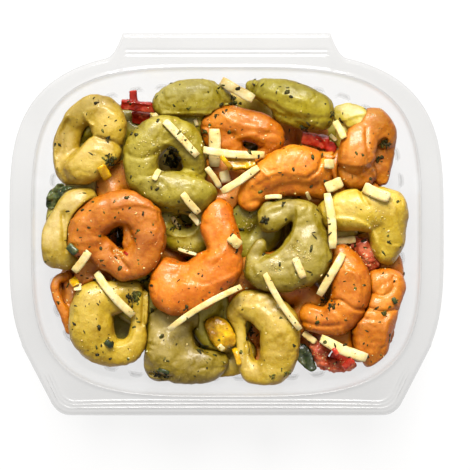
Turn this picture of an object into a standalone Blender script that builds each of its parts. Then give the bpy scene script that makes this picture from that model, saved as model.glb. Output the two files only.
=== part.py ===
"""A clear hinged deli tray filled with three-colour tortellini salad.

The frame stands on the tray's underside: origin at the middle of the tray's box, +X to the
right along the longer side, +Y to the hinge at the back, +Z up. Lengths are in millimetres
until a mesh is finished, which scales it by MM.
"""

import math

import bmesh
import bpy
from mathutils import Matrix, Vector, noise
from mathutils.bvhtree import BVHTree

MM = 0.001

# The tray: its opening at the rim, how deep it is, and its flange.
OPENING_LENGTH = 128.0
OPENING_WIDTH = 108.0
OPENING_SQUARENESS = 3.7
TRAY_HEIGHT = 50.0
SHEET = 0.6
SIDE_FLANGE = 7.6
BACK_FLANGE = 5.6
FRONT_FLANGE = 6.4
HINGE_STRIP = 5.9
HINGE_HALF_LENGTH = 32.5
HINGE_FILLET = 6.0
TAB_START = -34.0
TAB_SIDE_NORMAL = Vector((0.889, 0.458))
TAB_SIDE_REACH = 77.2
TAB_ROUNDING = 4.8
FLANGE_STEP = 1.6
LIP_DROP = 2.6
# A flange edge that runs nearly along the rim's normal is not followed further than this allows.
LEAST_SLANT = 0.3
# The wall, as how far inside the rim's outline it stands: at the base, where the flutes
# start, where they end, and at the shoulder above them.
BASE_INSET = 11.0
FOOT_HEIGHT = 3.4
FOOT_INSET = 8.6
FLUTE_FOOT = 8.5
FLUTE_TOP = 22.0
FLUTE_TOP_INSET = 5.4
SHOULDER = 27.0
SHOULDER_INSET = 2.5
FLUTES = 42
FLUTE_DEPTH = 0.8
# The middle of the opening, so that the whole tray's box is centred on the origin.
OPENING_Y = (FRONT_FLANGE - BACK_FLANGE - HINGE_STRIP) / 2

# The lower tortellini: one heap whose uneven top follows the undersides of what lies on it.
HEAP_FOOT = 1.1
HEAP_TOP = 24.0
HEAP_LEAST = 8.0
HEAP_SIDES = 28
HEAP_RINGS = 6
HEAP_SPREAD = 6.0
HEAP_CLEARANCE = 1.0

# Pieces that press on each other, or on the tray, keep this gap.
GAP = 0.35

# How finely the dough tubes are cut: sections along the ring, and points round a section.
RING_SECTIONS = 13
TUBE_POINTS = 7

# An end that laps over the other swells over this share of the ring, and the end under it
# shrinks over a shorter one.
LAP_REACH = 0.1
TUCK_REACH = 0.07
LAP_LIFT = 0.4
LEAST_TUBE = 3.0
# The share of an open ring over which each end rounds off.
BLUNT_END = 0.2
HORN_SPREAD = 0.45

DOUGH = {
    "egg": (0.74, 0.52, 0.09),
    "spinach": (0.42, 0.38, 0.05),
    "tomato": (0.82, 0.28, 0.03),
}
DOUGH_ROUGHNESS = 0.35
# Colour and roughness.
VEGETABLE = {
    "red_pepper": ((0.55, 0.03, 0.02), 0.25),
    "yellow_pepper": ((0.8, 0.45, 0.01), 0.25),
    "tomato_piece": ((0.5, 0.06, 0.03), 0.3),
    "spinach_leaf": ((0.03, 0.07, 0.01), 0.4),
}
LEAF_SHEET = 0.5
CLEAR_PLASTIC = (0.95, 0.96, 0.96)


# ---------------------------------------------------------------- materials


def material(name, colour, roughness, metallic=0.0, alpha=1.0):
    made = bpy.data.materials.get(name)
    if made:
        return made
    made = bpy.data.materials.new(name)
    made.use_nodes = True
    shader = made.node_tree.nodes["Principled BSDF"]
    shader.inputs["Base Color"].default_value = (*colour, 1.0)
    shader.inputs["Roughness"].default_value = roughness
    shader.inputs["Metallic"].default_value = metallic
    shader.inputs["Alpha"].default_value = alpha
    made.diffuse_color = (*colour, alpha)
    return made


# ---------------------------------------------------------------- objects


def clear_scene():
    for old in list(bpy.data.objects):
        bpy.data.objects.remove(old, do_unlink=True)


def add_object(name, mesh, collection, made_of):
    mesh.shade_smooth()
    mesh.materials.append(made_of)
    obj = bpy.data.objects.new(name, mesh)
    collection.objects.link(obj)
    return obj


def finished_mesh(name, shape):
    """The closed bmesh `shape`, in millimetres, as a mesh in metres with its faces outward."""
    if shape.calc_volume(signed=True) < 0:
        bmesh.ops.reverse_faces(shape, faces=shape.faces)
    bmesh.ops.triangulate(shape, faces=shape.faces)
    bmesh.ops.scale(shape, vec=(MM, MM, MM), verts=shape.verts)
    mesh = bpy.data.meshes.new(name)
    shape.to_mesh(mesh)
    shape.free()
    return mesh


def bridge_loops(shape, loops):
    """Skin between loops of equal length, lowest first, closed at the bottom."""
    shape.faces.new(list(reversed(loops[0])))
    for lower, upper in zip(loops, loops[1:]):
        for index in range(len(lower)):
            following = (index + 1) % len(lower)
            shape.faces.new((lower[index], lower[following], upper[following], upper[index]))


# ---------------------------------------------------------------- the tray


def power(value, exponent):
    return math.copysign(abs(value) ** exponent, value)


def even_loop(half_length, half_width, count):
    """Points at equal steps round a rectangle with bowed sides and round corners."""
    fine = 1440
    exponent = 2.0 / OPENING_SQUARENESS
    curve = []
    for step in range(fine + 1):
        angle = 2.0 * math.pi * step / fine
        x = half_length * power(math.cos(angle), exponent)
        y = half_width * power(math.sin(angle), exponent)
        curve.append(Vector((x, y)))
    travelled = [0.0]
    for first, second in zip(curve, curve[1:]):
        travelled.append(travelled[-1] + (second - first).length)
    loop = []
    segment = 0
    for index in range(count):
        target = travelled[-1] * index / count
        while travelled[segment + 1] < target:
            segment += 1
        share = (target - travelled[segment]) / (travelled[segment + 1] - travelled[segment])
        loop.append(curve[segment].lerp(curve[segment + 1], share))
    return loop


def outward(loop, index):
    before = loop[index - 1]
    after = loop[(index + 1) % len(loop)]
    along = (after - before).normalized()
    return Vector((along.y, -along.x))


def soft_min(first, second, rounding):
    blend = max(rounding - abs(first - second), 0.0) / rounding
    return min(first, second) - blend * blend * rounding / 4.0


def flange_width(point, normal):
    """How far the flange runs outward from a point of the rim."""
    if point.y < TAB_START:
        front = OPENING_WIDTH / 2 + FRONT_FLANGE
        to_front = (front + point.y) / max(-normal.y, LEAST_SLANT)
        side_normal = Vector((math.copysign(TAB_SIDE_NORMAL.x, point.x), -TAB_SIDE_NORMAL.y))
        slant = max(side_normal.dot(normal), LEAST_SLANT)
        to_side = (TAB_SIDE_REACH - side_normal.dot(point)) / slant
        return soft_min(to_front, to_side, TAB_ROUNDING)
    back = BACK_FLANGE if normal.y > 0 else FRONT_FLANGE
    width = SIDE_FLANGE * normal.x ** 2 + back * normal.y ** 2
    if point.y > 0:
        past = (abs(point.x) - HINGE_HALF_LENGTH) / HINGE_FILLET
        fillet = min(max(1.0 - past, 0.0), 1.0)
        line = OPENING_WIDTH / 2 + BACK_FLANGE + HINGE_STRIP
        to_line = (line - point.y) / max(normal.y, LEAST_SLANT)
        width += (to_line - width) * fillet * fillet
    return width


def wall_inset(height):
    """How far inside the rim's outline the wall stands at a height."""
    profile = (
        (FOOT_HEIGHT, FOOT_INSET),
        (FLUTE_TOP, FLUTE_TOP_INSET),
        (SHOULDER, SHOULDER_INSET),
        (TRAY_HEIGHT, 0.0),
    )
    for (low, low_inset), (high, high_inset) in zip(profile, profile[1:]):
        if height <= high:
            share = (height - low) / (high - low)
            return low_inset + (high_inset - low_inset) * share
    return 0.0


def tray_loops(count):
    """The loops of the tray's inner skin, from the base over the rim to the flange's lip."""
    half_length = OPENING_LENGTH / 2
    half_width = OPENING_WIDTH / 2

    def inset_loop(inset, height, flute=0.0):
        loop = even_loop(half_length - inset, half_width - inset, count)
        points = []
        for index, point in enumerate(loop):
            phase = math.cos(2.0 * math.pi * FLUTES * index / count)
            moved = point + outward(loop, index) * flute * phase
            points.append(Vector((moved.x, moved.y, height)))
        return points

    rim = even_loop(half_length, half_width, count)

    def flange_loop(start, share, height):
        points = []
        for index, point in enumerate(rim):
            normal = outward(rim, index)
            width = flange_width(point, normal)
            moved = point + normal * (start + share * width)
            points.append(Vector((moved.x, moved.y, height)))
        return points

    top = TRAY_HEIGHT
    return [
        inset_loop(BASE_INSET, SHEET),
        inset_loop(FOOT_INSET, FOOT_HEIGHT),
        inset_loop(wall_inset(FLUTE_FOOT), FLUTE_FOOT, FLUTE_DEPTH),
        inset_loop(FLUTE_TOP_INSET, FLUTE_TOP, FLUTE_DEPTH),
        inset_loop(SHOULDER_INSET, SHOULDER),
        flange_loop(0.0, 0.0, top),
        flange_loop(-FLANGE_STEP, 1.0, top - 0.1),
        flange_loop(0.0, 1.0, top - 0.8),
        flange_loop(0.3, 1.0, top - LIP_DROP),
    ]


def make_tray(collection):
    """One thin sheet of clear plastic, formed into a fluted tray with a flange."""
    shape = bmesh.new()
    loops = []
    for points in tray_loops(2 * FLUTES):
        loops.append([shape.verts.new(point) for point in points])
    bridge_loops(shape, loops)
    bmesh.ops.scale(shape, vec=(MM, MM, MM), verts=shape.verts)
    mesh = bpy.data.meshes.new("tray")
    shape.to_mesh(mesh)
    shape.free()
    clear = material("clear_plastic", CLEAR_PLASTIC, 0.08, alpha=0.25)
    tray = add_object("tray", mesh, collection, clear)
    tray.location = (0.0, OPENING_Y * MM, 0.0)
    thicken = tray.modifiers.new("sheet", "SOLIDIFY")
    thicken.thickness = SHEET * MM
    thicken.offset = 1.0
    thicken.use_even_offset = True
    thicken.use_rim = True
    return tray


# ---------------------------------------------------------------- tortellini


def dough_material(flavour):
    return material("dough_" + flavour, DOUGH[flavour], DOUGH_ROUGHNESS)


def reach(angle, centre, half_length, half_width):
    """From the origin along an angle, the distance to an ellipse round the origin."""
    cosine = math.cos(angle)
    sine = math.sin(angle)
    a = (cosine / half_length) ** 2 + (sine / half_width) ** 2
    b = -2.0 * (cosine * centre[0] / half_length ** 2 + sine * centre[1] / half_width ** 2)
    c = (centre[0] / half_length) ** 2 + (centre[1] / half_width) ** 2 - 1.0
    return (-b + math.sqrt(b * b - 4.0 * a * c)) / (2.0 * a)


def hump(angle, middle, width):
    """1 at the middle angle, falling to 0 a few widths away, the short way round."""
    away = (angle - middle + math.pi) % (2.0 * math.pi) - math.pi
    return math.exp(-((away / width) ** 2))


class Tortellino:
    """One folded piece of filled pasta, lying flat round its finger hole.

    length and width are the outline's; hole, shift and turn are the finger hole's length and
    width, where it lies in the outline, and how far it is turned. The tube of dough is thick
    at most. Its two ends meet at the seam angle: gap is the open angle between them, or 0 for
    ends pressed over each other with a step of lap times the tube. horn pushes the outline
    out at the angle horn_at. Angles are in degrees.
    """

    def __init__(self, length, width, hole=(8, 5), shift=(0, 0), turn=0, thick=13.0, seam=-90,
                 gap=0, lap=0.15, horn=0.0, horn_at=0):
        self.outer = (length / 2, width / 2)
        self.hole = (hole[0] / 2, hole[1] / 2)
        self.shift = shift
        self.turn = math.radians(turn)
        self.thick = thick
        self.seam = math.radians(seam)
        self.gap = math.radians(gap)
        self.lap = lap
        self.horn = horn
        self.horn_at = math.radians(horn_at)
        self.widest = max(self.half_width(math.radians(a)) for a in range(0, 360, 10))

    def edges(self, angle):
        """How far the hole's edge and the outline are from the hole's middle."""
        inner = reach(angle - self.turn, (0, 0), *self.hole)
        centre = (-self.shift[0], -self.shift[1])
        outer = reach(angle, centre, *self.outer)
        outer += self.horn * hump(angle, self.horn_at, HORN_SPREAD)
        return inner, max(outer, inner + LEAST_TUBE)

    def half_width(self, angle):
        inner, outer = self.edges(angle)
        return (outer - inner) / 2

    def point(self, share, around):
        """A point of the skin: share runs from one end to the other, around the tube's angle."""
        angle = self.seam + self.gap / 2 + share * (2.0 * math.pi - self.gap)
        inner, outer = self.edges(angle)
        half = (outer - inner) / 2
        rise = self.thick / 2 * math.sqrt(half / self.widest)
        swell = 1.0
        if self.gap:
            for end in (share, 1.0 - share):
                if end < BLUNT_END:
                    swell *= math.sqrt(max(1.0 - (1.0 - end / BLUNT_END) ** 2, 0.0))
        else:
            swell += self.lap * math.exp(-share / LAP_REACH)
            swell -= self.lap * math.exp((share - 1.0) / TUCK_REACH)
        radius = (inner + outer) / 2 + half * swell * math.cos(around)
        x = radius * math.cos(angle) + self.shift[0]
        y = radius * math.sin(angle) + self.shift[1]
        lift = 0.0
        if not self.gap:
            lift = self.lap * self.thick * LAP_LIFT * math.exp(-share / LAP_REACH)
        return Vector((x, y, rise * swell * math.sin(around) + lift))

    def mesh(self, name):
        """Closed rings start from a torus, open ones from a sphere drawn out along the ring."""
        shape = bmesh.new()
        if self.gap:
            bmesh.ops.create_uvsphere(
                shape, u_segments=TUBE_POINTS, v_segments=RING_SECTIONS - 2, radius=1.0
            )
            for vertex in shape.verts:
                share = math.acos(max(-1.0, min(1.0, vertex.co.z))) / math.pi
                around = math.atan2(vertex.co.y, vertex.co.x)
                vertex.co = self.point(share, around)
        else:
            bpy.ops.mesh.primitive_torus_add(
                major_segments=RING_SECTIONS, minor_segments=TUBE_POINTS,
                major_radius=2.0, minor_radius=1.0,
            )
            start = bpy.context.object
            shape.from_mesh(start.data)
            old = start.data
            bpy.data.objects.remove(start, do_unlink=True)
            bpy.data.meshes.remove(old)
            for vertex in shape.verts:
                turned = math.atan2(vertex.co.y, vertex.co.x) / (2.0 * math.pi)
                share = (turned + 0.5 / RING_SECTIONS) % 1.0
                from_tube = math.hypot(vertex.co.x, vertex.co.y) - 2.0
                around = math.atan2(vertex.co.z, from_tube)
                vertex.co = self.point(share, around)
        return finished_mesh(name, shape)


# ---------------------------------------------------------------- vegetables


class Lump:
    """An uneven rounded block of soft vegetable, from a sphere."""

    squareness = 0.8
    rough = 0.3

    def __init__(self, length, width, height, sag=0.0, seed=0):
        self.half = Vector((length, width, height)) / 2
        self.sag = sag
        self.seed = seed

    def mesh(self, name):
        shape = bmesh.new()
        bmesh.ops.create_uvsphere(shape, u_segments=8, v_segments=6, radius=1.0)
        offset = Vector((self.seed * 7.3, self.seed * 3.1, self.seed * 5.7))
        for vertex in shape.verts:
            # The sphere's poles lie along the block's length.
            unit = Vector((vertex.co.z, vertex.co.x, vertex.co.y))
            swell = 1.0 + self.rough * noise.noise(unit * 1.7 + offset)
            squared = [power(value, self.squareness) * swell for value in unit]
            x = squared[0] * self.half.x
            y = squared[1] * self.half.y
            z = squared[2] * self.half.z - self.sag * squared[0] ** 2
            vertex.co = Vector((x, y, z))
        return finished_mesh(name, shape)


class Strip(Lump):
    """A cut piece of pepper: squarer, smooth, and sagging at both ends."""

    squareness = 0.6
    rough = 0.0


class Leaf:
    """A scrap of leaf: a thin wavy sheet that narrows to both ends."""

    def __init__(self, length, width, crumple, seed):
        self.length = length
        self.width = width
        self.crumple = crumple
        self.seed = seed

    def mesh(self, name):
        shape = bmesh.new()
        bmesh.ops.create_grid(shape, x_segments=5, y_segments=4, size=1.0)
        for vertex in shape.verts:
            along, across = vertex.co.x, vertex.co.y
            x = along * self.length / 2
            y = across * self.width / 2 * (1.0 - 0.45 * along ** 2)
            wave = noise.noise(Vector((x * 0.14, y * 0.2, self.seed * 4.1)))
            vertex.co = Vector((x, y, self.crumple * (wave + 0.25 * across ** 2)))
        bmesh.ops.scale(shape, vec=(MM, MM, MM), verts=shape.verts)
        mesh = bpy.data.meshes.new(name)
        shape.to_mesh(mesh)
        shape.free()
        return mesh


# ---------------------------------------------------------------- laying the food in the tray


def turned(obj, yaw, lean, toward):
    """Turn a piece by yaw about +Z, then tip its top by lean towards a compass angle."""
    heading = math.radians(toward)
    axis = Vector((-math.sin(heading), math.cos(heading), 0.0))
    spin = Matrix.Rotation(math.radians(yaw), 4, "Z")
    tip = Matrix.Rotation(math.radians(lean), 4, axis)
    obj.rotation_euler = (tip @ spin).to_euler()


def world_surface(obj, grown=0.0):
    """The object's surface at its place, as corners and faces, grown outward by a distance."""
    bpy.context.view_layer.update()
    graph = bpy.context.evaluated_depsgraph_get()
    evaluated = obj.evaluated_get(graph)
    mesh = evaluated.to_mesh()
    place = evaluated.matrix_world
    turn = place.to_3x3()
    corners = []
    for vertex in mesh.vertices:
        corners.append(place @ vertex.co + (turn @ vertex.normal).normalized() * grown)
    faces = [tuple(polygon.vertices) for polygon in mesh.polygons]
    evaluated.to_mesh_clear()
    return corners, faces


def centre_at(obj, x, y, z):
    """Move a piece so that its box's middle is at x, y, z in the tray, y from its middle."""
    corners, _ = world_surface(obj)
    middle = []
    for axis in range(3):
        values = [corner[axis] for corner in corners]
        middle.append((min(values) + max(values)) / 2)
    wanted = Vector((x, y + OPENING_Y, z)) * MM
    obj.location = obj.location + wanted - Vector(middle)


def add_cutter(name, corners, faces, collection):
    mesh = bpy.data.meshes.new(name)
    mesh.from_pydata(corners, [], faces)
    cutter = bpy.data.objects.new(name, mesh)
    cutter.hide_render = True
    cutter.display_type = "WIRE"
    collection.objects.link(cutter)
    return cutter


def cut(obj, cutter, operation):
    pressed = obj.modifiers.new(cutter.name, "BOOLEAN")
    pressed.operation = operation
    pressed.object = cutter


def inner_space(collection):
    """The room inside the tray's wall, a GAP clear of its flutes, as a closed cutter."""
    shape = bmesh.new()
    half_length = OPENING_LENGTH / 2
    half_width = OPENING_WIDTH / 2
    stations = [
        (BASE_INSET + GAP, SHEET + GAP),
        (FOOT_INSET + FLUTE_DEPTH + GAP, FOOT_HEIGHT),
        (wall_inset(FLUTE_FOOT) + FLUTE_DEPTH + GAP, FLUTE_FOOT),
        (FLUTE_TOP_INSET + FLUTE_DEPTH + GAP, FLUTE_TOP),
        (SHOULDER_INSET + FLUTE_DEPTH + GAP, SHOULDER),
        (FLUTE_DEPTH + GAP, TRAY_HEIGHT),
        (FLUTE_DEPTH + GAP, TRAY_HEIGHT * 2.0),
    ]
    loops = []
    for inset, height in stations:
        loop = even_loop(half_length - inset, half_width - inset, 2 * FLUTES)
        loops.append([shape.verts.new((p.x, p.y + OPENING_Y, height)) for p in loop])
    bridge_loops(shape, loops)
    shape.faces.new(loops[-1])
    mesh = finished_mesh("inner_space", shape)
    space = bpy.data.objects.new("inner_space", mesh)
    space.hide_render = True
    space.display_type = "WIRE"
    collection.objects.link(space)
    return space


def press_together(pieces, space, cutters):
    """Soft dough gives way: each piece is dented by those above it and held by the wall."""
    wall = BVHTree.FromPolygons(*world_surface(space))
    plain = {obj.name: BVHTree.FromPolygons(*world_surface(obj)) for obj in pieces}
    grown = {obj.name: world_surface(obj, GAP * MM) for obj in pieces}
    for index, obj in enumerate(pieces):
        if plain[obj.name].overlap(wall):
            cut(obj, space, "INTERSECT")
        for above in pieces[index + 1:]:
            corners, faces = grown[above.name]
            if not plain[obj.name].overlap(BVHTree.FromPolygons(corners, faces)):
                continue
            name = "around_" + above.name
            cutter = bpy.data.objects.get(name)
            if cutter is None:
                cutter = add_cutter(name, corners, faces, cutters)
            cut(obj, cutter, "DIFFERENCE")


# ---------------------------------------------------------------- the heap


def free_height(undersides, x, y):
    """How high the heap can rise at x, y without meeting a piece within its spread."""
    height = HEAP_TOP
    upward = Vector((0, 0, 1))
    for away in (0.0, HEAP_SPREAD / 2, HEAP_SPREAD):
        for step in range(8):
            angle = math.pi * step / 4
            aside = Vector((math.cos(angle), math.sin(angle), 0.0)) * away
            start = (Vector((x, y, 0.0)) + aside) * MM
            for tree in undersides:
                hit = tree.ray_cast(start, upward)[0]
                if hit:
                    height = min(height, hit.z / MM - HEAP_CLEARANCE)
    return max(height, HEAP_LEAST)


def make_heap(collection, pieces):
    """The tortellini that lie below the ones on top, as one solid inside the tray."""
    undersides = [BVHTree.FromPolygons(*world_surface(obj)) for obj in pieces]
    shape = bmesh.new()
    half_length = OPENING_LENGTH / 2
    half_width = OPENING_WIDTH / 2
    clearance = FLUTE_DEPTH + 2.0 * GAP
    edge = wall_inset(FLUTE_FOOT) + clearance
    loops = []
    sides = (
        (BASE_INSET + clearance, HEAP_FOOT),
        (FOOT_INSET + clearance, FLUTE_FOOT / 2),
        (edge, FLUTE_FOOT),
    )
    for inset, height in sides:
        loop = even_loop(half_length - inset, half_width - inset, HEAP_SIDES)
        loops.append([shape.verts.new((p.x, p.y + OPENING_Y, height)) for p in loop])
    for ring in range(HEAP_RINGS):
        share = 1.0 - (ring + 0.1) / HEAP_RINGS
        loop = even_loop((half_length - edge) * share, (half_width - edge) * share, HEAP_SIDES)
        points = []
        for point in loop:
            x, y = point.x, point.y + OPENING_Y
            height = free_height(undersides, x, y)
            points.append(shape.verts.new((x, y, height)))
        loops.append(points)
    bridge_loops(shape, loops)
    shape.faces.new(loops[-1])
    mesh = finished_mesh("lower_tortellini", shape)
    return add_object("lower_tortellini", mesh, collection, dough_material("tomato"))


# ---------------------------------------------------------------- the salad


def make_tortellino(name, place, tilt, form, collection):
    obj = add_object(name, form.mesh(name), collection, dough_material(name.split("_")[0]))
    turned(obj, *tilt)
    centre_at(obj, *place)
    return obj


def make_vegetable(name, place, tilt, form, collection):
    kind = next(kind for kind in VEGETABLE if name.startswith(kind))
    obj = add_object(name, form.mesh(name), collection, material(kind, *VEGETABLE[kind]))
    if isinstance(form, Leaf):
        thicken = obj.modifiers.new("sheet", "SOLIDIFY")
        thicken.thickness = LEAF_SHEET * MM
        thicken.offset = 0.0
    turned(obj, *tilt)
    centre_at(obj, *place)
    return obj


# Name, middle (x, y from the opening's middle, z), (yaw, lean, where the lean goes), and form.
# From the lowest to the topmost: a later piece lies on, and dents, the earlier ones.
LOWER = [
    ("egg_below_left", (-45, 9, 23), (20, 10, 0), Tortellino(25, 22, (7, 5), thick=11)),
    ("tomato_below_middle", (-12, -10, 21), (0, 5, 90), Tortellino(26, 22, (7, 5), thick=11)),
    ("spinach_below_left", (-14, 5, 26), (0, 5, -90), Tortellino(26, 22, (10, 8), thick=10)),
    ("spinach_below_middle", (9, 1, 26), (60, 10, 90), Tortellino(23, 19, (7, 4), thick=11)),
    ("egg_below_front", (0, -41, 23), (30, 10, 180), Tortellino(20, 17, (6, 4), thick=10)),
    ("tomato_left_edge", (-51, -24, 28), (98, 50, 0), Tortellino(24, 20, (11, 8), thick=10)),
    ("egg_back_corner", (41, 38, 33), (20, 10, 90), Tortellino(17, 14, (4, 3), thick=9)),
    ("spinach_back_left", (-11, 40, 31), (0, 55, -90), Tortellino(25, 21, (9, 6), thick=13)),
    ("egg_left_edge", (-52.5, 0.5, 33), (72, 30, 0), Tortellino(28, 21, (8, 5), thick=12)),
    ("tomato_back", (5, 33, 31), (-8, 10, -90),
     Tortellino(27, 21, (7, 3.5), (4, -2.5), thick=12, seam=200)),
]
UPPER = [
    ("egg_back_left", (-45, 30, 33), (70, 22, 180),
     Tortellino(31, 25, (13, 7.5), (0.5, 2.9), thick=12, seam=-170, lap=0.2)),
    ("spinach_front", (-13.4, -37, 29), (0, 6, -90),
     Tortellino(28, 27, (12, 6.5), (5.5, 0.5), 120, thick=12, seam=30)),
    ("egg_front_left", (-40, -30, 31), (0, 5, -90),
     Tortellino(29.5, 29, (15, 5.5), (5.4, -0.5), 78, thick=13, seam=45)),
    ("egg_front", (12.2, -35.5, 31), (105, 5, -90),
     Tortellino(33, 25, (12.5, 4.2), (0, 4.5), thick=13, seam=150)),
    ("tomato_right_edge", (48.2, -28.5, 32), (74, 6, 0),
     Tortellino(33, 15.5, (12, 2.2), (-1, 1), thick=13, seam=100)),
    ("tomato_back_corner", (46.5, 28.5, 33), (75, 48, 0),
     Tortellino(28, 22, (10, 7), thick=11, seam=180)),
    ("egg_right", (45, 1.5, 33), (0, 5, 0),
     Tortellino(30, 28, (11, 8), (-1.5, -2.5), thick=12, seam=-125, gap=100)),
    ("tomato_right", (36, -19.5, 33), (0, 5, 0),
     Tortellino(27, 28, (11, 9), (-4, 0.5), thick=12, seam=170, gap=110)),
    ("spinach_back_right", (21, 42, 33), (-22, 72, -112),
     Tortellino(31, 17, (8, 3), thick=11, horn=2, horn_at=180)),
    ("spinach_middle", (21, -4.5, 35), (0, 6, -90),
     Tortellino(30.5, 31, (14, 5.5), (-5.3, 5.6), 50, thick=12, seam=185, gap=30)),
    ("tomato_middle", (-10.2, -8.3, 35), (0, 6, 90),
     Tortellino(31.5, 41, (14, 12.5), (-2.6, 4), thick=14, seam=132, gap=125)),
    ("tomato_left", (-36.5, -1.5, 36), (0, 5, 0),
     Tortellino(33, 30, (8, 4.5), (0.7, -0.3), 110, thick=13, seam=185, lap=0.18)),
    ("spinach_left", (-19, 22.5, 35.5), (0, 5, 90),
     Tortellino(28, 32, (11, 6.5), (2, 0.5), 57, thick=13, seam=-35, lap=0.2,
                horn=3.5, horn_at=-30)),
    ("tomato_middle_back", (18, 18, 34.5), (18, 5, -90),
     Tortellino(35, 26, (16, 8), (1, -1.5), thick=12, seam=-90, gap=120)),
]

VEGETABLES = [
    ("red_pepper_crossing", (-30, 40, 26), (-80, 15, 90), Strip(11, 4, 4, sag=0.4)),
    ("red_pepper_back_left", (-30, 42, 30), (5, 0, 0), Strip(12, 4.5, 4, sag=0.5)),
    ("red_pepper_back_right", (31, 29.5, 29), (-15, 0, 0), Strip(13, 6, 5, sag=0.8)),
    ("spinach_leaf_left", (-54, 11, 33), (40, 25, 180), Leaf(12, 10, crumple=4, seed=1)),
    ("spinach_leaf_front", (27, -41, 28), (70, 20, 180), Leaf(10, 8, crumple=3, seed=2)),
    ("tomato_piece_right", (45, -7, 30), (30, 0, 0), Lump(10, 9, 8, seed=3)),
    ("tomato_piece_front", (31.5, -39, 30), (60, 0, 0), Lump(8, 7, 7, seed=4)),
    ("red_pepper_front", (39, -41, 28), (10, 0, 0), Lump(9, 7, 6, seed=5)),
    ("red_pepper_right_edge", (55.6, -31.5, 27.5), (78, 0, 0), Strip(9, 4, 6)),
    ("yellow_pepper_front", (-2, -34.5, 31), (20, 0, 0), Strip(10.5, 10, 7, sag=0.5)),
]
TOPMOST = [
    ("yellow_pepper_middle", (5, 22.5, 37), (-5, 10, -90), Strip(10.5, 6.5, 5, sag=0.3)),
]


def build():
    clear_scene()
    salad = bpy.data.collections.new("tortellini_salad")
    cutters = bpy.data.collections.new("cutters")
    bpy.context.scene.collection.children.link(salad)
    bpy.context.scene.collection.children.link(cutters)

    make_tray(salad)
    pieces = [make_tortellino(*row, salad) for row in LOWER]
    pieces += [make_vegetable(*row, salad) for row in VEGETABLES]
    pieces += [make_tortellino(*row, salad) for row in UPPER]
    pieces += [make_vegetable(*row, salad) for row in TOPMOST]
    pieces.insert(0, make_heap(salad, pieces))
    press_together(pieces, inner_space(cutters), cutters)


build()
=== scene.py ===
"""The looks of a clear deli tray of three-colour tortellini salad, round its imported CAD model.

Lengths are in millimetres until a mesh is made, which scales them by MM. Places across the
tray are measured from the middle of its opening, which comes from the tray's box, and each
piece's heights from the middle of its own CAD node's box.
"""

import math

import bmesh
import bpy
import numpy as np
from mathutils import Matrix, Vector
from mathutils.bvhtree import BVHTree


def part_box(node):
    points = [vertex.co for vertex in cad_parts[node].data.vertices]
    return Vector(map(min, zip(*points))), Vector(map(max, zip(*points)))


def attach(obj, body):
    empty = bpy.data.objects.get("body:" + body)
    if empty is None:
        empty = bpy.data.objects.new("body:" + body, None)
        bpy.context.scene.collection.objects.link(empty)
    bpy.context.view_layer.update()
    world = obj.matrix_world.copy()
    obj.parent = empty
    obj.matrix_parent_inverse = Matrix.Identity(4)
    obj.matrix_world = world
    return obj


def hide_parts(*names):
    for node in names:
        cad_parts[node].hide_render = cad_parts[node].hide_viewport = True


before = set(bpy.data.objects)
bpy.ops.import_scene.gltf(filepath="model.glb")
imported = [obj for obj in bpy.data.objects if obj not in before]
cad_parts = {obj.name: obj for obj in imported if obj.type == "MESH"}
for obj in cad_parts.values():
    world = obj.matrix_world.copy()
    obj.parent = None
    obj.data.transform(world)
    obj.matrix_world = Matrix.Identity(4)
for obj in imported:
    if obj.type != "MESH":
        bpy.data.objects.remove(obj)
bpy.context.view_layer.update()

MM = 0.001

# The tray's driving dimensions, as in the CAD.
OPENING_LENGTH = 128.0
OPENING_WIDTH = 108.0
OPENING_SQUARENESS = 3.7
SHEET = 0.6
SIDE_FLANGE = 7.6
BACK_FLANGE = 5.6
FRONT_FLANGE = 6.4
HINGE_STRIP = 5.9
HINGE_HALF_LENGTH = 32.5
HINGE_FILLET = 6.0
TAB_START = -34.0
TAB_SIDE_NORMAL = (0.889, 0.458)
TAB_SIDE_REACH = 77.2
TAB_ROUNDING = 4.8
LEAST_SLANT = 0.3
FOOT_HEIGHT = 3.4
FOOT_INSET = 8.6
FLUTE_FOOT = 8.5
FLUTE_TOP = 22.0
FLUTE_TOP_INSET = 5.4
SHOULDER = 27.0
SHOULDER_INSET = 2.5
FLUTES = 42
FLUTE_DEPTH = 1.4
LIP_DROP = 2.6

TRAY_LOW, TRAY_HIGH = (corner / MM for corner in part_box("tray"))
TRAY_HEIGHT = TRAY_HIGH.z
MIDDLE_X = (TRAY_LOW.x + TRAY_HIGH.x) / 2
MIDDLE_Y = (TRAY_LOW.y + TRAY_HIGH.y + FRONT_FLANGE - BACK_FLANGE - HINGE_STRIP) / 2

# How fine the food is meshed: on top, and below where only the clear wall shows it.
FINE_CELL = 0.5
COARSE_CELL = 0.85
SMALL_CELL = 0.3
# How near two pieces press, and how softly the edge of the dent is rounded.
PRESS_GAP = 0.12
PRESS_ROUNDING = 0.9
# How softly one limb of dough meets the next.
CREASE = 1.1
# How square a limb's cross-section is: 2 would be round.
FULLNESS = 2.5
# How much further apart the food above lies than its limbs below say.
SPREAD = 1.02
# How wide the edge of a fold is, and how round the edges of a slab are.
FOLD_EDGE = 0.15
FOLD_STRENGTH = 1.15
SLAB_ROUNDING = 0.45
LEAF_THICKNESS = 0.75
# Islands of fewer corners than this are crumbs that a dent cut off.
LEAST_ISLAND = 60


# ---------------------------------------------------------------- fields
# A field gives, for each row of points, the distance to a surface, negative inside it.


def smooth_min(first, second, rounding):
    blend = np.clip(rounding - np.abs(first - second), 0.0, None) / rounding
    return np.minimum(first, second) - blend * blend * rounding / 4.0


def smooth_max(first, second, rounding):
    return -smooth_min(-first, -second, rounding)


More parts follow.
